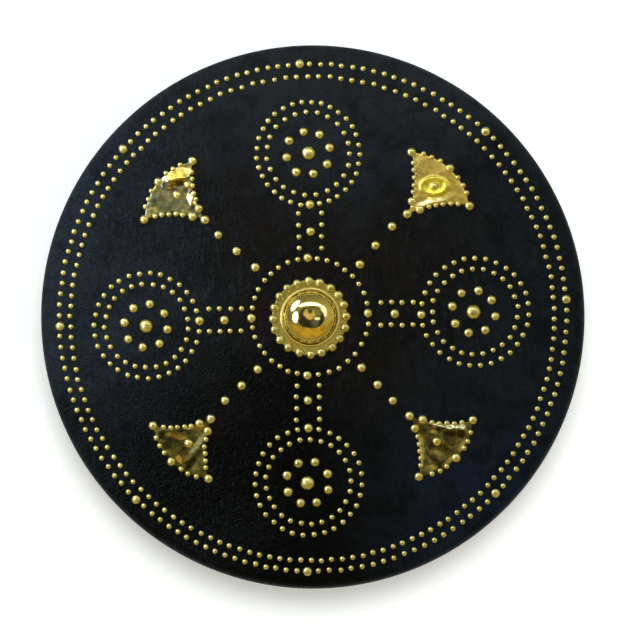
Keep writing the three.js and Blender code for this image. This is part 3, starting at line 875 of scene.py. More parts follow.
def build_board(material):
    """A disc glued up from planks, with a shallow V along each seam on its back."""
    reach = BOARD_RADIUS + 10
    section = [(-reach, BOARD_FRONT), (-reach, BOARD_BACK)]
    for seam in range(1, PLANKS):
        x = -BOARD_RADIUS + seam * PLANK_WIDTH
        for aside, depth in ((-1, 0), (0, SEAM_DEPTH), (1, 0)):
            section.append((x + aside * SEAM_WIDTH / 2, BOARD_BACK + depth))
    section += [(reach, BOARD_BACK), (reach, BOARD_FRONT)]
    count = len(section)
    near, far = range(count), range(count, 2 * count)
    vertices = [(x, y, z) for y in (-reach, reach) for x, z in section]
    prism = new_solid("prism", vertices, [tuple(near), tuple(far)] + band(near, far))
    bottom, top = BOARD_BACK - 20, BOARD_FRONT + 20
    profile = [(0, bottom), (BOARD_RADIUS, bottom), (BOARD_RADIUS, top), (0, top)]
    cutter = new_solid("cutter", *lathe(profile, BOARD_SEGMENTS))
    cut = prism.modifiers.new("cut", "BOOLEAN")
    cut.operation = "INTERSECT"
    cut.solver = "EXACT"
    cut.object = cutter
    evaluated = prism.evaluated_get(bpy.context.evaluated_depsgraph_get())
    mesh = evaluated.to_mesh()
    vertices = [tuple(vertex.co / MM) for vertex in mesh.vertices]
    faces = [tuple(polygon.vertices) for polygon in mesh.polygons]
    evaluated.to_mesh_clear()
    for shape in (prism, cutter):
        bpy.data.objects.remove(shape)
    return new_piece("board_planks", vertices, faces, material, "board_wood", ["wooden_board"], smooth=False)


STRAP_STATIONS = 96
STRAP_ROUNDING = 0.9
STRAP_SHARP_FROM = 40
STRAP_STEP = 0.2
STRAP_SAG = 0.125
WIDTH_DRIFT = 0.012
WORN_EDGE = 2.5
STITCH_INSET = 4.5
STITCH_PITCH = 5.6
STITCH_LENGTH = 4.2
STITCH_RADIUS = 0.45
STITCH_SLANT = 0.12
STITCH_MARGIN = 6
GROOVE_DEPTH = 0.7
GROOVE_HALF_WIDTHS = (0.9, 0.4)
STRAP_NAIL_ROWS = (9, 24)
STRAP_NAIL_COLUMNS = {"arm_strap": (-18, 18), "hand_strap": (0,)}
LIP_TACKS = {"count": 60, "start": 3, "from_lip": 6}


def strap_height(sizes, distance):
    share = smoothstep(abs(distance), sizes["half_flat"], sizes["half_flat"] + sizes["slope"])
    return sizes["thickness"] / 2 + (BOARD_BACK - sizes["thickness"]) * share


def strap_frames(sizes):
    """Points on the strap's middle line with the way along it and out of it, away from the board."""
    reach = sizes["half_flat"] + sizes["slope"] + sizes["foot"]
    frames = []
    for y in np.linspace(-reach, reach, STRAP_STATIONS + 1):
        before, after = strap_height(sizes, y - STRAP_STEP), strap_height(sizes, y + STRAP_STEP)
        along = Vector((0, 2 * STRAP_STEP, after - before)).normalized()
        outward = Vector((0, along.z, -along.y))
        frames.append((Vector((sizes["x"], y, strap_height(sizes, y))), along, outward))
    return frames


def strap_section(sizes):
    """Outline of the strap across its width: (across, outward), with a stitching groove near each edge."""
    half, thick = sizes["width"] / 2, sizes["thickness"] / 2
    line = half - STITCH_INSET
    wide, narrow = GROOVE_HALF_WIDTHS
    groove = [(line + wide, thick), (line + narrow, thick - GROOVE_DEPTH)]
    groove += [(line - narrow, thick - GROOVE_DEPTH), (line - wide, thick)]
    outline = [(-across, out) for across, out in groove] + groove[::-1]
    for side, front, start in ((1, 1, 90), (1, -1, 0), (-1, -1, -90), (-1, 1, -180)):
        centre = (side * (half - STRAP_ROUNDING), front * (thick - STRAP_ROUNDING))
        outline += arc_points(centre, STRAP_ROUNDING, start, start - 90, 3)
    return outline


def build_strap(name, sizes, material):
    section = strap_section(sizes)
    half_width, half_thick = sizes["width"] / 2, sizes["thickness"] / 2
    vertices, edge_wear, faces, previous = [], [], [], None
    for place, _, outward in strap_frames(sizes):
        ring = range(len(vertices), len(vertices) + len(section))
        sag = STRAP_SAG * abs(noise.noise(Vector((0, place.y / 17, sizes["x"]))))
        rise = Vector((0, 0, sag * smoothstep(place.z, half_thick + 0.5, half_thick + 8)))
        for across, out in section:
            width = 1 + WIDTH_DRIFT * noise.noise(Vector((across / 40, place.y / 21, sizes["x"])))
            vertices.append(tuple(place + Vector((across * width, 0, 0)) + outward * out + rise))
            edge_wear.append(smoothstep(abs(across), half_width - WORN_EDGE, half_width))
        faces += band(previous, ring) if previous else [tuple(ring)]
        previous = ring
    faces.append(tuple(previous))
    piece = new_piece(
        name + "_leather", vertices, faces, material, "strap_leather", [name], sharp_from=STRAP_SHARP_FROM
    )
    add_attribute(piece, "wear", edge_wear)
    return piece


def build_stitching(name, sizes, material):
    """Slanted round-ended stitches in the two grooves."""
    half = STITCH_LENGTH / 2 - STITCH_RADIUS
    profile = [(0, -half - STITCH_RADIUS), *arc_points((0, -half), STITCH_RADIUS, -60, 0, 2)]
    profile += [*arc_points((0, half), STITCH_RADIUS, 0, 60, 2), (0, half + STITCH_RADIUS)]
    template, faces = lathe(profile, 8)
    frames = strap_frames(sizes)
    steps = [(b[0] - a[0]).length for a, b in zip(frames, frames[1:])]
    lengths = [0.0, *itertools.accumulate(steps)]
    stitches = []
    for k in range(int((lengths[-1] - 2 * STITCH_MARGIN) / STITCH_PITCH)):
        distance = STITCH_MARGIN + (k + 0.5) * STITCH_PITCH
        station = next(i for i in range(1, len(lengths)) if lengths[i] >= distance)
        share = (distance - lengths[station - 1]) / steps[station - 1]
        place, along, outward = (a.lerp(b, share) for a, b in zip(frames[station - 1], frames[station]))
        place += outward * (sizes["thickness"] / 2 - GROOVE_DEPTH + 0.1)
        for side in (-1, 1):
            spot = place + Vector((side * (sizes["width"] / 2 - STITCH_INSET), 0, 0))
            slant = along + Vector((STITCH_SLANT * side, 0, 0))
            turn = np.array(slant.to_track_quat("Z", "X").to_matrix())
            stitches.append((template @ turn.T + np.array(spot), faces))
    return new_piece(name + "_stitching", *joined(stitches), material, "strap_leather", [name])


def build_strap_nails(name, sizes, material, seed):
    end_of_slope = sizes["half_flat"] + sizes["slope"]
    nails = [
        (sizes["x"] + column, way * (end_of_slope + row), "medium")
        for way in (-1, 1)
        for row in STRAP_NAIL_ROWS
        for column in STRAP_NAIL_COLUMNS[name]
    ]
    height = BOARD_BACK - sizes["thickness"] + 0.15
    return build_nails(name + "_nails", nails, lambda x, y: height, seed, material, [name], downward=True)


def build_lip_tacks(material, seed):
    radius = SHIELD_RADIUS - TURN_UNDER + LIP_TACKS["from_lip"]
    step = 360 / LIP_TACKS["count"]
    tacks = [(*turned(radius, 0, LIP_TACKS["start"] + k * step), "small") for k in range(LIP_TACKS["count"])]
    height, replaced = LIP_BOTTOM + 0.25, ["leather_face"]
    return build_nails("lip_tacks", tacks, lambda x, y: height, seed, material, replaced, downward=True)


# Materials

class Field:
    """A value or colour that varies over a surface: the output of a node in a graph."""

    def __init__(self, graph, socket):
        self.graph = graph
        self.socket = socket

    def __add__(self, other):
        return self.graph.math("ADD", self, other)

    def __sub__(self, other):
        return self.graph.math("SUBTRACT", self, other)

    def __rsub__(self, other):
        return self.graph.math("SUBTRACT", other, self)

    def __mul__(self, other):
        return self.graph.math("MULTIPLY", self, other)

    def __truediv__(self, other):
        return self.graph.math("DIVIDE", self, other)

    def __abs__(self):
        return self.graph.math("ABSOLUTE", self)

    def span(self, low, high, to_low=0.0, to_high=1.0):
        """This value from low to high, turned smoothly into one from to_low to to_high."""
        inputs = {"Value": self, "From Min": low, "From Max": high, "To Min": to_low, "To Max": to_high}
        return self.graph.node("ShaderNodeMapRange", inputs, interpolation_type="SMOOTHSTEP")


class Graph:
    """The nodes of a material or a world, with short calls for those that several of them use."""

    def __init__(self, owner, space="Object"):
        owner.use_nodes = True
        self.owner = owner
        self.nodes = owner.node_tree.nodes
        self.links = owner.node_tree.links
        self.place = self.node("ShaderNodeTexCoord", {}, space)

    def node(self, kind, inputs, output=0, **settings):
        made = self.nodes.new(kind)
        for name, value in settings.items():
            setattr(made, name, value)
        for name, value in inputs.items():
            self.feed(made.inputs[name], value)
        return Field(self, made.outputs[output])

    def feed(self, socket, value):
        if isinstance(value, Field):
            self.links.new(value.socket, socket)
        else:
            socket.default_value = (*value, 1) if socket.type == "RGBA" else value

    def part(self, vector, axis):
        return self.node("ShaderNodeSeparateXYZ", {"Vector": vector}, axis)

    def math(self, operation, first, second=0.0):
        return self.node("ShaderNodeMath", {0: first, 1: second}, operation=operation)

    def vector(self, operation, first, second=(0, 0, 0), output="Vector"):
        return self.node("ShaderNodeVectorMath", {0: first, 1: second}, output, operation=operation)

    def highest(self, first, *others):
        for other in others:
            first = self.math("MAXIMUM", first, other)
        return first

    def distance_from(self, spot):
        """How far each point is from the upright line through a spot, in metres."""
        flat = self.vector("MULTIPLY", self.place, (1, 1, 0))
        return self.vector("DISTANCE", flat, (spot[0] * MM, spot[1] * MM, 0), "Value")

    def noise(self, scale, detail=3.0, roughness=0.5, at=None, output=0):
        inputs = {"Vector": at or self.place, "Scale": scale, "Detail": detail, "Roughness": roughness}
        return self.node("ShaderNodeTexNoise", inputs, output)

    def strokes(self, scale, detail, roughness, narrow, turn):
        """Noise drawn out into strokes, which run along Y before they are turned."""
        inputs = {"Vector": self.place, "Rotation": (0, 0, math.radians(turn)), "Scale": (1, narrow, 1)}
        return self.noise(scale, detail, roughness, at=self.node("ShaderNodeMapping", inputs))

    def drift(self, scale, low=0.0, high=1.0, detail=3.0):
        """A value that drifts between low and high."""
        return self.noise(scale, detail).span(0.3, 0.7, low, high)

    def cells(self, scale, feature="F1", at=None):
        inputs = {"Vector": at or self.place, "Scale": scale}
        return self.node("ShaderNodeTexVoronoi", inputs, "Distance", feature=feature)

    def attribute(self, name):
        return self.node("ShaderNodeAttribute", {}, "Fac", attribute_name=name)

    def mix_values(self, share, first, second):
        return self.node("ShaderNodeMix", {"Factor": share, "A": first, "B": second}, "Result")

    def paint(self, colour, *layers):
        """A colour with layers of (share, colour) over it."""
        for share, above in layers:
            colour = self.node("ShaderNodeMix", {"Factor": share, 6: colour, 7: above}, 2, data_type="RGBA")
        return colour

    def bumps(self, *layers):
        """The normal of a surface with layers of (height, distance, strength) on it."""
        under = {}
        for height, distance, strength in layers:
            inputs = {"Height": height, "Distance": distance, "Strength": strength, **under}
            under = {"Normal": self.node("ShaderNodeBump", inputs)}
        return under["Normal"]

    def finish(self, **inputs):
        for name, value in inputs.items():
            label = name.replace("_", " ").title().replace("Ior", "IOR")
            self.feed(self.nodes["Principled BSDF"].inputs[label], value)
        return self.owner


def material_graph(name):
    return Graph(bpy.data.materials.new(name))


def circle_through(a, b, c):
    """Centre and radius of the circle through three points."""
    ax, ay, bx, by, cx, cy = *a, *b, *c
    d = 2 * (ax * (by - cy) + bx * (cy - ay) + cx * (ay - by))
    aa, bb, cc = ax * ax + ay * ay, bx * bx + by * by, cx * cx + cy * cy
    x = (aa * (by - cy) + bb * (cy - ay) + cc * (ay - by)) / d
    y = (aa * (cx - bx) + bb * (ax - cx) + cc * (bx - ax)) / d
    return (x, y), math.hypot(ax - x, ay - y)


# Faint creases in the leather: start, middle and end of each, and its depth against the deepest
LEATHER_CREASES = (
    ((-186, 178), (-115, 175), (-86, 186), 1.0),
    ((-118.5, 83.2), (-106.4, 51.4), (-94.2, 27.1), 1.0),
    ((-128, 85), (-122, 76.5), (-115.5, 68), 0.7),
    ((-86, 119), (-74, 138), (-69, 155), 0.7),
    ((-107, -150), (-97, -144), (-88, -137), 0.8),
)
CREASE_WIDTH = 1.8


def crease_mask(graph, start, middle, end):
    centre, radius = circle_through(start, middle, end)
    half = math.dist(start, end) / 2 * MM
    midpoint = ((start[0] + end[0]) / 2, (start[1] + end[1]) / 2)
    off = abs(graph.distance_from(centre) - radius * MM)
    broken = graph.noise(150, 3, 0.6).span(0.42, 0.58)
    near = graph.distance_from(midpoint).span(0.55 * half, 1.15 * half, 1.0, 0.0)
    return off.span(0.0, CREASE_WIDTH * MM, 1.0, 0.0) * broken * near


WARM_BLACK = (0.0056, 0.0034, 0.0025)
# Painted sheen: bluish and lighter colours that stand in for the cool light the leather mirrors on its sides,
# left, top and lower right
BLUE_PAINTED_SHEEN = (0.0049, 0.0067, 0.0104)
LEFT_PAINTED_SHEEN = (0.0185, 0.0280, 0.0470)
TOP_PAINTED_SHEEN = (0.0158, 0.0204, 0.0295)
LOW_RIGHT_PAINTED_SHEEN = (0.0046, 0.0100, 0.0215)
# Painted shade, darker towards the bottom
LOW_PAINTED_SHADE = (0.0004, 0.0003, 0.0004)
DEEP_BLACK = (0.0010, 0.0010, 0.0014)
# Painted highlight on the wrinkles' ridges, stronger towards the left
WRINKLE_PAINTED_HIGHLIGHT = (0.0190, 0.0250, 0.0340)
WORN_CREASE = (0.010, 0.012, 0.014)


def leather_material():
    """Black hide: fine cells and short wrinkles. Its colour carries painted light: a bluish painted sheen
    that makes it look bluer and glossier towards its left and top, painted highlights on wrinkles towards its
    left, and painted shade towards its bottom.
    """
    graph = material_graph("black_leather")
    wander = (graph.noise(9) - 0.5) * 0.3
    x = graph.part(graph.place, "X") + wander
    y = graph.part(graph.place, "Y") + wander
    # left and top: where painted sheen lightens the colour
    left = x.span(-0.10, -0.24) * y.span(-0.17, -0.04, 0.35, 1.0)
    top = y.span(0.09, 0.24)
    # low: where painted shade darkens the colour towards the bottom; it also lowers roughness and bump
    # strength there
    low = y.span(-0.01, -0.11) * x.span(-0.22, -0.09, 0.62, 1.0) * x.span(0.0, 0.15, 1.0, 0.15)
    # Where a bluish painted sheen covers the lower right
    low_right_sheen = y.span(-0.02, -0.13) * x.span(0.0, 0.16)
    rim = graph.distance_from((0, 0)).span((SHIELD_RADIUS - FRONT_EDGE_RADIUS) * MM, (SHIELD_RADIUS - 3) * MM)

    warp = graph.vector("SUBTRACT", graph.noise(190, 2, output="Color"), (0.5, 0.5, 0.5))
    bent = graph.vector("ADD", graph.place, graph.vector("MULTIPLY", warp, (0.007, 0.007, 0.0)))
    grain = graph.cells(300, "DISTANCE_TO_EDGE", bent).span(0.0, 0.28)
    strokes = graph.strokes(330, 4, 0.6, narrow=0.3, turn=-50)
    creases = graph.highest(*(crease_mask(graph, *points) * depth for *points, depth in LEATHER_CREASES))

    colour = graph.paint(
        WARM_BLACK,
        # Painted sheen: bluish on the sides and lower right, lighter at the top and left
        (abs(x).span(0.06, 0.19), BLUE_PAINTED_SHEEN),
        (low_right_sheen * 0.9, LOW_RIGHT_PAINTED_SHEEN),
        (top * 0.8, TOP_PAINTED_SHEEN),
        (left * 0.85, LEFT_PAINTED_SHEEN),
        (graph.noise(55, 5, 0.6).span(0.42, 0.66, 0.0, 0.55), DEEP_BLACK),
        # Painted highlights along the wrinkles, stronger towards the left
        (strokes.span(0.50, 0.70) * x.span(-0.05, -0.16, 0.25, 0.8), WRINKLE_PAINTED_HIGHLIGHT),
        # Painted shade towards the bottom
        (low * 0.95, LOW_PAINTED_SHADE),
        (creases * 0.6, WORN_CREASE),
    )
    rough = graph.drift(60, 0.36, 0.43, detail=4) + graph.highest(left, top) * 0.03 - low * 0.13 + rim * 0.14
    normal = graph.bumps(
        (graph.cells(1000), 0.00008, 0.35),
        (graph.noise(230, 5, 0.68), 0.0009, 0.7 - low * 0.5),
        (strokes, 0.0012, x.span(-0.05, -0.16, 0.2, 0.8)),
        (grain, 0.00045, x.span(-0.02, -0.18, 0.4, 1.0)),
        (1.0 - creases, 0.0004, 0.9),
    )
    graph.finish(specular_ior_level=0.11, specular_tint=(0.65, 0.84, 1.0))
    return graph.finish(base_color=colour, roughness=rough, normal=normal)


# Tarnish and painted shade at a nail's foot
NAIL_TARNISH_AND_SHADE = (0.10, 0.08, 0.02)


def nail_material(name, light, deep, roughness):
    """Polished brass: its tint drifts a little, and it is darker at its foot, partly tarnish where polish
    doesn't reach and partly painted shade where it meets the leather.
    """
    graph = material_graph(name)
    # Where the nail meets the leather: tarnish and painted shade
    low = graph.part(graph.place, "Z").span((LEATHER_FRONT - 0.3) * MM, (LEATHER_FRONT + 0.3) * MM, 1.0, 0.0)
    colour = graph.paint(light, (graph.noise(70, 2).span(0.35, 0.65), deep), (low * 0.6, NAIL_TARNISH_AND_SHADE))
    rough = graph.drift(240, roughness * 0.75, roughness * 1.35)
    normal = graph.bumps((graph.noise(500, 3, 0.6), 0.00005, 0.3))
    return graph.finish(base_color=colour, metallic=1.0, roughness=rough, normal=normal)


def boss_material():
    """A mirror-bright dome and a satin bead on a duller flange. The bead is painted brighter and the flange
    darker than the dome's brass, as painted highlight and painted shade, and the dome's foot and the groove
    are painted dark, partly old polish left between them and partly painted shade.
    """
    graph = material_graph("boss_brass")
    centre = (BOSS_CENTRE[0] + BOSS_DOME_ASIDE[0], BOSS_CENTRE[1] + BOSS_DOME_ASIDE[1])
    outward = graph.distance_from(centre)
    flange = outward.span(BOSS_GROOVE_RADIUS * MM, (BOSS_GROOVE_RADIUS + 0.8) * MM)
    bead = outward.span((BOSS_DOME_RADIUS - 0.1) * MM, (BOSS_DOME_RADIUS + 0.2) * MM)
    foot = abs(outward - BOSS_DOME_RADIUS * MM)
    valley = abs(outward - BOSS_GROOVE_RADIUS * MM)
    broken = graph.noise(110, 3, 0.6).span(0.42, 0.58, 0.1, 1.0)
    # The dome's foot and the groove: old polish left there, and painted shade in these recesses
    foot_dirt_and_shade = foot.span(0.25 * MM, 0.9 * MM, 0.75, 0.0) * broken
    valley_dirt_and_shade = valley.span(0.0, 0.35 * MM, 0.5, 0.0)
    colour = graph.paint(
        (0.83, 0.70, 0.29),
        (graph.noise(70, 2).span(0.35, 0.65), (0.78, 0.64, 0.23)),
        # Painted highlight: the bead brighter than the dome's brass
        (bead, (0.92, 0.80, 0.30)),
        # Painted shade: the flange darker than the dome's brass
        (flange, (0.50, 0.42, 0.12)),
        (graph.highest(foot_dirt_and_shade, valley_dirt_and_shade), (0.10, 0.08, 0.03)),
    )
    smooth, satin, dull = (graph.drift(240, *ends) for ends in ((0.07, 0.12), (0.21, 0.25), (0.38, 0.52)))
    rough = graph.mix_values(flange, graph.mix_values(bead, smooth, satin), dull)
    normal = graph.bumps((graph.noise(500, 3, 0.6), 0.00005, 0.06))
    return graph.finish(base_color=colour, metallic=1.0, roughness=rough, normal=normal)


MARK_STRENGTH = 0.92


def plate_material(name, light, deep, colours, roughness, patches, crumple):
    """Thin sheet brass: mottled, scratched, and coloured where the mesh is marked, with stains and painted
    shade, painted golden reflections and painted highlights.
    """
    graph = material_graph(name)
    colour = graph.paint(
        light,
        (graph.noise(patches, 4, 0.6).span(0.38, 0.62), deep),
        # Marked colours: stains and painted shade, painted golden reflections, painted highlights
        *((graph.attribute(mark) * MARK_STRENGTH, marked_colour) for mark, marked_colour in colours.items()),
        (graph.noise(400, 4, 0.7).span(0.45, 0.70, 0.0, 0.55), colours["stain_and_shade"]),
    )
    rough = graph.drift(180, roughness * 0.75, roughness * 1.3)
    normal = graph.bumps(
        (graph.strokes(900, 2, 0.5, narrow=0.12, turn=-50), 0.00005, 0.35),
        (graph.noise(160, 3, 0.55), 0.0004, crumple),
    )
    return graph.finish(base_color=colour, metallic=1.0, roughness=rough, normal=normal)


# Each plate's light and deep tones are set darker, greyer or brighter than plain brass to stand in for the
# reflection of the room that it shows: painted reflection and painted shade. Its dark colour marks stains and
# painted shade, its gold colour a painted golden reflection, its pale colour a painted highlight.
PLATE_LOOKS = {
    "upper_left": {
        "light": (0.42, 0.46, 0.36), "deep": (0.25, 0.28, 0.20),
        "colours": {"stain_and_shade": (0.050, 0.045, 0.035), "gold_reflection": (0.84, 0.55, 0.085), "pale": (0.95, 0.88, 0.32)},
        "roughness": 0.25, "patches": 150, "crumple": 0.3,
    },
    "upper_right": {
        "light": (0.80, 0.63, 0.17), "deep": (0.69, 0.53, 0.13),
        "colours": {"stain_and_shade": (0.34, 0.26, 0.07), "gold_reflection": (1.0, 0.92, 0.10), "pale": (1.0, 0.97, 0.60)},
        "roughness": 0.42, "patches": 60, "crumple": 0.15,
    },
    "lower_left": {
        "light": (0.29, 0.28, 0.080), "deep": (0.10, 0.087, 0.026),
        "colours": {"stain_and_shade": (0.028, 0.028, 0.012), "gold_reflection": (0.92, 0.60, 0.12), "pale": (0.46, 0.48, 0.29)},
        "roughness": 0.30, "patches": 105, "crumple": 0.7,
    },
    "lower_right": {
        "light": (0.30, 0.26, 0.095), "deep": (0.10, 0.088, 0.034),
        "colours": {"stain_and_shade": (0.024, 0.025, 0.012), "gold_reflection": (0.90, 0.74, 0.20), "pale": (1.0, 0.97, 0.62)},
        "roughness": 0.30, "patches": 115, "crumple": 0.7,
    },
}


def wood_material():
    """Planed softwood, each plank with a tint of its own."""
    graph = material_graph("board_wood")
    width = PLANK_WIDTH * MM
    plank = graph.math("FLOOR", (graph.part(graph.place, "X") + PLANKS / 2 * width) / width)
    tint = graph.node("ShaderNodeTexWhiteNoise", {"W": plank}, "Value", noise_dimensions="1D")
    grain = graph.strokes(60, 5, 0.6, narrow=0.06, turn=0)
    lines = graph.strokes(420, 3, 0.5, narrow=0.03, turn=0)
    colour = graph.paint(
        (0.20, 0.115, 0.055),
        (grain.span(0.3, 0.7), (0.38, 0.24, 0.125)),
        (tint * 0.45, (0.24, 0.14, 0.07)),
        (lines.span(0.55, 0.75, 0.0, 0.5), (0.13, 0.07, 0.035)),
    )
    rough = grain.span(0.3, 0.7, 0.5, 0.66)
    return graph.finish(base_color=colour, roughness=rough, normal=graph.bumps((lines, 0.0003, 0.5)))


def strap_material():
    """Thick brown leather, darker along its worn edges."""
    graph = material_graph("strap_leather")
    colour = graph.paint(
        (0.060, 0.028, 0.013),
        (graph.drift(26), (0.105, 0.052, 0.024)),
        (graph.attribute("wear") * 0.8, (0.022, 0.011, 0.006)),
    )
    normal = graph.bumps((graph.cells(620), 0.00012, 0.5), (graph.noise(90, 4), 0.0007, 0.4))
    return graph.finish(base_color=colour, roughness=graph.drift(120, 0.45, 0.62), normal=normal)


def thread_material():
    graph = material_graph("waxed_thread")
    colour = graph.paint((0.40, 0.31, 0.19), (graph.drift(300, detail=2), (0.55, 0.45, 0.30)))
    normal = graph.bumps((graph.strokes(2200, 2, 0.5, narrow=0.3, turn=30), 0.0001, 0.6))
    return graph.finish(base_color=colour, roughness=0.7, normal=normal)


def iron_material():
    graph = material_graph("blued_iron")
    colour = graph.paint((0.055, 0.055, 0.058), (graph.drift(150), (0.13, 0.12, 0.11)))
    rough = graph.drift(300, 0.35, 0.55)
    normal = graph.bumps((graph.noise(700), 0.0001, 0.4))
    return graph.finish(base_color=colour, metallic=1.0, roughness=rough, normal=normal)


# Stage

FLOOR_HALF_SIZE = 4.0
FLOOR_GLOW = 0.42


def build_floor():
    """A pale floor, seen only from above, so that views from below show the back of the shield."""
    mesh = bpy.data.meshes.new("floor")
    s = FLOOR_HALF_SIZE
    mesh.from_pydata([(-s, -s, 0), (s, -s, 0), (s, s, 0), (-s, s, 0)], [], [(0, 1, 2, 3)])
    graph = material_graph("floor")
    graph.finish(
        base_color=(0.86, 0.86, 0.86), roughness=1.0, specular_ior_level=0.0,
        emission_color=(0.8, 0.9, 1.0), emission_strength=FLOOR_GLOW,
    )
    below = graph.node("ShaderNodeNewGeometry", {}, "Backfacing")
    pale = Field(graph, graph.nodes["Principled BSDF"].outputs[0])
    clear = graph.node("ShaderNodeBsdfTransparent", {})
    seen = graph.node("ShaderNodeMixShader", {0: below, 1: pale, 2: clear})
    graph.feed(graph.nodes["Material Output"].inputs["Surface"], seen)
    mesh.materials.append(graph.owner)
    floor = add_object("floor", mesh)


# Where light comes from, told by the slope of a surface that would mirror it straight up. A flat surface
# mirrors slope 0, and one that rises 1 in 1 towards its high side mirrors the horizon on its low side.

def slope_direction(slope_x, slope_y):
    steep = math.hypot(slope_x, slope_y)
    polar = 2 * math.atan(steep)
    return Vector((slope_x / steep * math.sin(polar), slope_y / steep * math.sin(polar), math.cos(polar)))


SOFTBOXES = (
    {"name": "left_box", "slope": (-0.425, 0.02), "size": (0.44, 0.32), "radiance": 6.0},
    {"name": "upper_left_box", "slope": (-0.51, 0.41), "size": (0.56, 0.38), "radiance": 4.5},
    {"name": "top_strip", "slope": (0.0, 0.375), "size": (1.20, 0.18), "radiance": 3.3},
)
SOFTBOX_DISTANCE = 0.9
COOL_WHITE = (0.90, 0.96, 1.0)
FLOOR_KEY = {"slope": (0.0, 0.16), "irradiance": 1.9, "angle": 26}


def add_lamp(name, kind, slope, energy):
    light = bpy.data.lights.new(name, kind)
    light.energy = energy
    light.color = COOL_WHITE
    lamp = add_object(name, light)
    lamp.rotation_euler = slope_direction(*slope).to_track_quat("Z", "Y").to_euler()
    return lamp


def build_lights():
    """Three softboxes that the brass mirrors, and a broad overhead light that only throws the shadow."""
    aim = Vector((*BOSS_CENTRE, LEATHER_FRONT)) * MM
    for box in SOFTBOXES:
        width, height = box["size"]
        lamp = add_lamp(box["name"], "AREA", box["slope"], box["radiance"] * math.pi * width * height)
        lamp.data.shape = "ELLIPSE"
        lamp.data.size, lamp.data.size_y = width, height
        lamp.location = aim + slope_direction(*box["slope"]) * SOFTBOX_DISTANCE
        lamp.visible_diffuse = False
    key = add_lamp("floor_key", "SUN", FLOOR_KEY["slope"], FLOOR_KEY["irradiance"])
    key.data.angle = math.radians(FLOOR_KEY["angle"])
    key.visible_glossy = False


TABLE_TILT = 0.56


def build_world():
    """A room by slope: a dim middle where the camera stands, a warm side below it, a pale one all round."""
    world = bpy.data.worlds.new("room")
    bpy.context.scene.world = world
    graph = Graph(world, "Generated")
    direction = graph.vector("NORMALIZE", graph.place)
    x, y, z = (graph.part(direction, axis) for axis in "XYZ")
    height = graph.highest(z + 1.0, 0.15)
    slope_x, slope_y = x / height, y / height
    slope = graph.node("ShaderNodeCombineXYZ", {"X": slope_x, "Y": slope_y})
    steep = graph.vector("LENGTH", slope, output="Value")
    table_side = y + z * TABLE_TILT
    table_grain = graph.noise(3.5, 2, at=slope).span(0.4, 0.62)
    table = graph.paint(
        (0.64, 0.43, 0.07), (table_grain, (0.42, 0.26, 0.04)), (steep.span(0.52, 0.82), (0.33, 0.28, 0.08))
    )

    def spot(slope_x, slope_y, half_width, half_height, softness):
        off = graph.vector("SUBTRACT", slope, (slope_x, slope_y, 0))
        scaled = graph.vector("DIVIDE", off, (half_width, half_height, 1))
        return graph.vector("LENGTH", scaled, output="Value").span(1 - softness, 1 + softness, 1.0, 0.0)

    warm_spots = graph.highest(
        spot(-0.10, 0.11, 0.06, 0.09, 0.35),
        spot(0.09, 0.11, 0.05, 0.08, 0.35),
        spot(-0.01, 0.03, 0.09, 0.07, 0.4),
    )
    colour = graph.paint(
        (0.17, 0.19, 0.13),
        (slope_x.span(-0.75, 0.75), (0.50, 0.45, 0.20)),
        (slope_y.span(0.2, 0.9), (0.23, 0.225, 0.12)),
        (table_side.span(-0.04, 0.04, 1.0, 0.0), table),
        (steep.span(0.95, 1.3), (0.75, 0.75, 0.72)),
        (spot(0.385, 0.19, 0.10, 0.17, 0.35), (1.7, 1.75, 1.65)),
        (spot(0.03, 0.0, 0.36, 0.30, 0.08) * table_side.span(-0.04, 0.04), (0.030, 0.034, 0.024)),
        (spot(0.12, -0.12, 0.09, 0.10, 0.6), (0.12, 0.15, 0.15)),
        (spot(0.05, 0.23, 0.16, 0.06, 0.6), (0.17, 0.17, 0.13)),
        (warm_spots * graph.noise(11, 2, at=slope).span(0.36, 0.6, 0.55, 1.0), (1.0, 0.80, 0.34)),
        (spot(0.19, 0.13, 0.10, 0.09, 0.5), (0.26, 0.25, 0.14)),
        (spot(0.17, -0.02, 0.07, 0.03, 0.3), (1.5, 1.6, 1.7)),
        (graph.node("ShaderNodeLightPath", {}, "Is Camera Ray"), (1.0, 1.0, 1.0)),
    )
    background = graph.nodes["Background"]
    graph.feed(background.inputs["Color"], colour)
    background.inputs["Strength"].default_value = 1.0


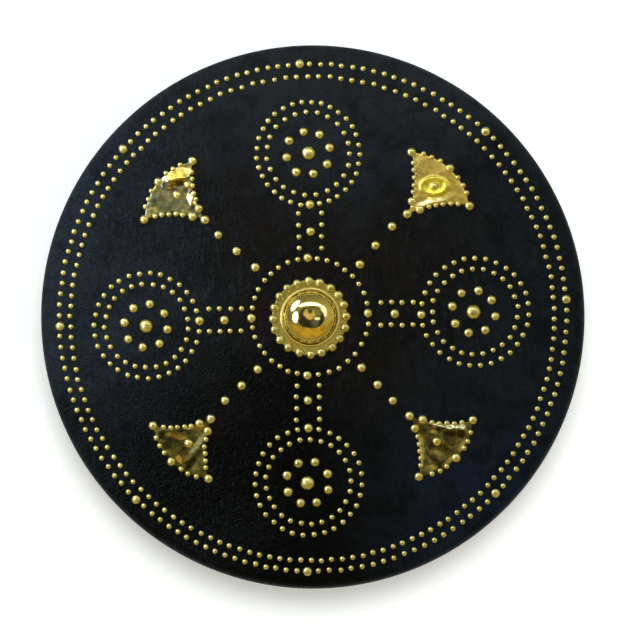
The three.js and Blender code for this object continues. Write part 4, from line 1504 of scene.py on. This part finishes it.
def build_camera():
    data = bpy.data.cameras.new("camera")
    data.sensor_width = SENSOR
    data.lens = SENSOR * VIEW_DISTANCE / VIEW_WIDTH
    camera = add_object("camera", data)
    rim_height = LEATHER_FRONT - FRONT_EDGE_RADIUS
    camera.location = Vector((*VIEW_CENTRE, rim_height + VIEW_DISTANCE)) * MM
    bpy.context.scene.camera = camera


def build_pieces():
    brass = nail_material("nail_brass", (0.80, 0.73, 0.31), (0.70, 0.62, 0.21), 0.36)
    # The boss's nails: a darker copy of the nail brass, as painted shade
    boss_nail_brass_shaded = nail_material("boss_nail_brass", (0.64, 0.58, 0.24), (0.53, 0.47, 0.15), 0.37)
    boss_brass = boss_material()
    plate_finish = {name: plate_material("plate_brass_" + name, **look) for name, look in PLATE_LOOKS.items()}
    on_leather = above_leather(LIFT_ON_LEATHER)
    build_leather(leather_material())
    build_nails("row_nails", ROW_NAILS, on_leather, 11, brass, ["leather_face"])
    for number, roundel in enumerate(ROUNDELS):
        name = roundel["name"]
        replaced = [f"stud_roundel_{name}_{k + 1}" for k in range(EIGHT)] + ["stud_large_" + name]
        build_nails("roundel_nails_" + name, ROUNDEL_NAILS[name], on_leather, 21 + number, brass, replaced)
    for number, corner in enumerate(CORNERS):
        name = corner["name"]
        replaced = [f"stud_diagonal_{name}_{k + 1}" for k in range(DIAGONAL_COUNT)]
        build_nails("diagonal_nails_" + name, DIAGONAL_NAILS[name], on_leather, 31 + number, brass, replaced)
        build_plate(corner, plate_finish[name])
        build_plate_nails(corner, brass, 41 + number)
    build_boss(boss_brass)
    build_nails("boss_nails", BOSS_RING, above_leather(LIFT_ON_BOSS), 51, boss_nail_brass_shaded, ["boss"])
    build_board(wood_material())
    harness, thread, iron = strap_material(), thread_material(), iron_material()
    for number, (name, sizes) in enumerate((("arm_strap", ARM_STRAP), ("hand_strap", HAND_STRAP))):
        build_strap(name, sizes, harness)
        build_stitching(name, sizes, thread)
        build_strap_nails(name, sizes, brass, 61 + number)
    build_lip_tacks(iron, 71)


build_camera()
build_pieces()
build_floor()
build_lights()
build_world()
bpy.context.scene.view_settings.view_transform = "Standard"
bpy.context.scene.view_settings.look = "None"
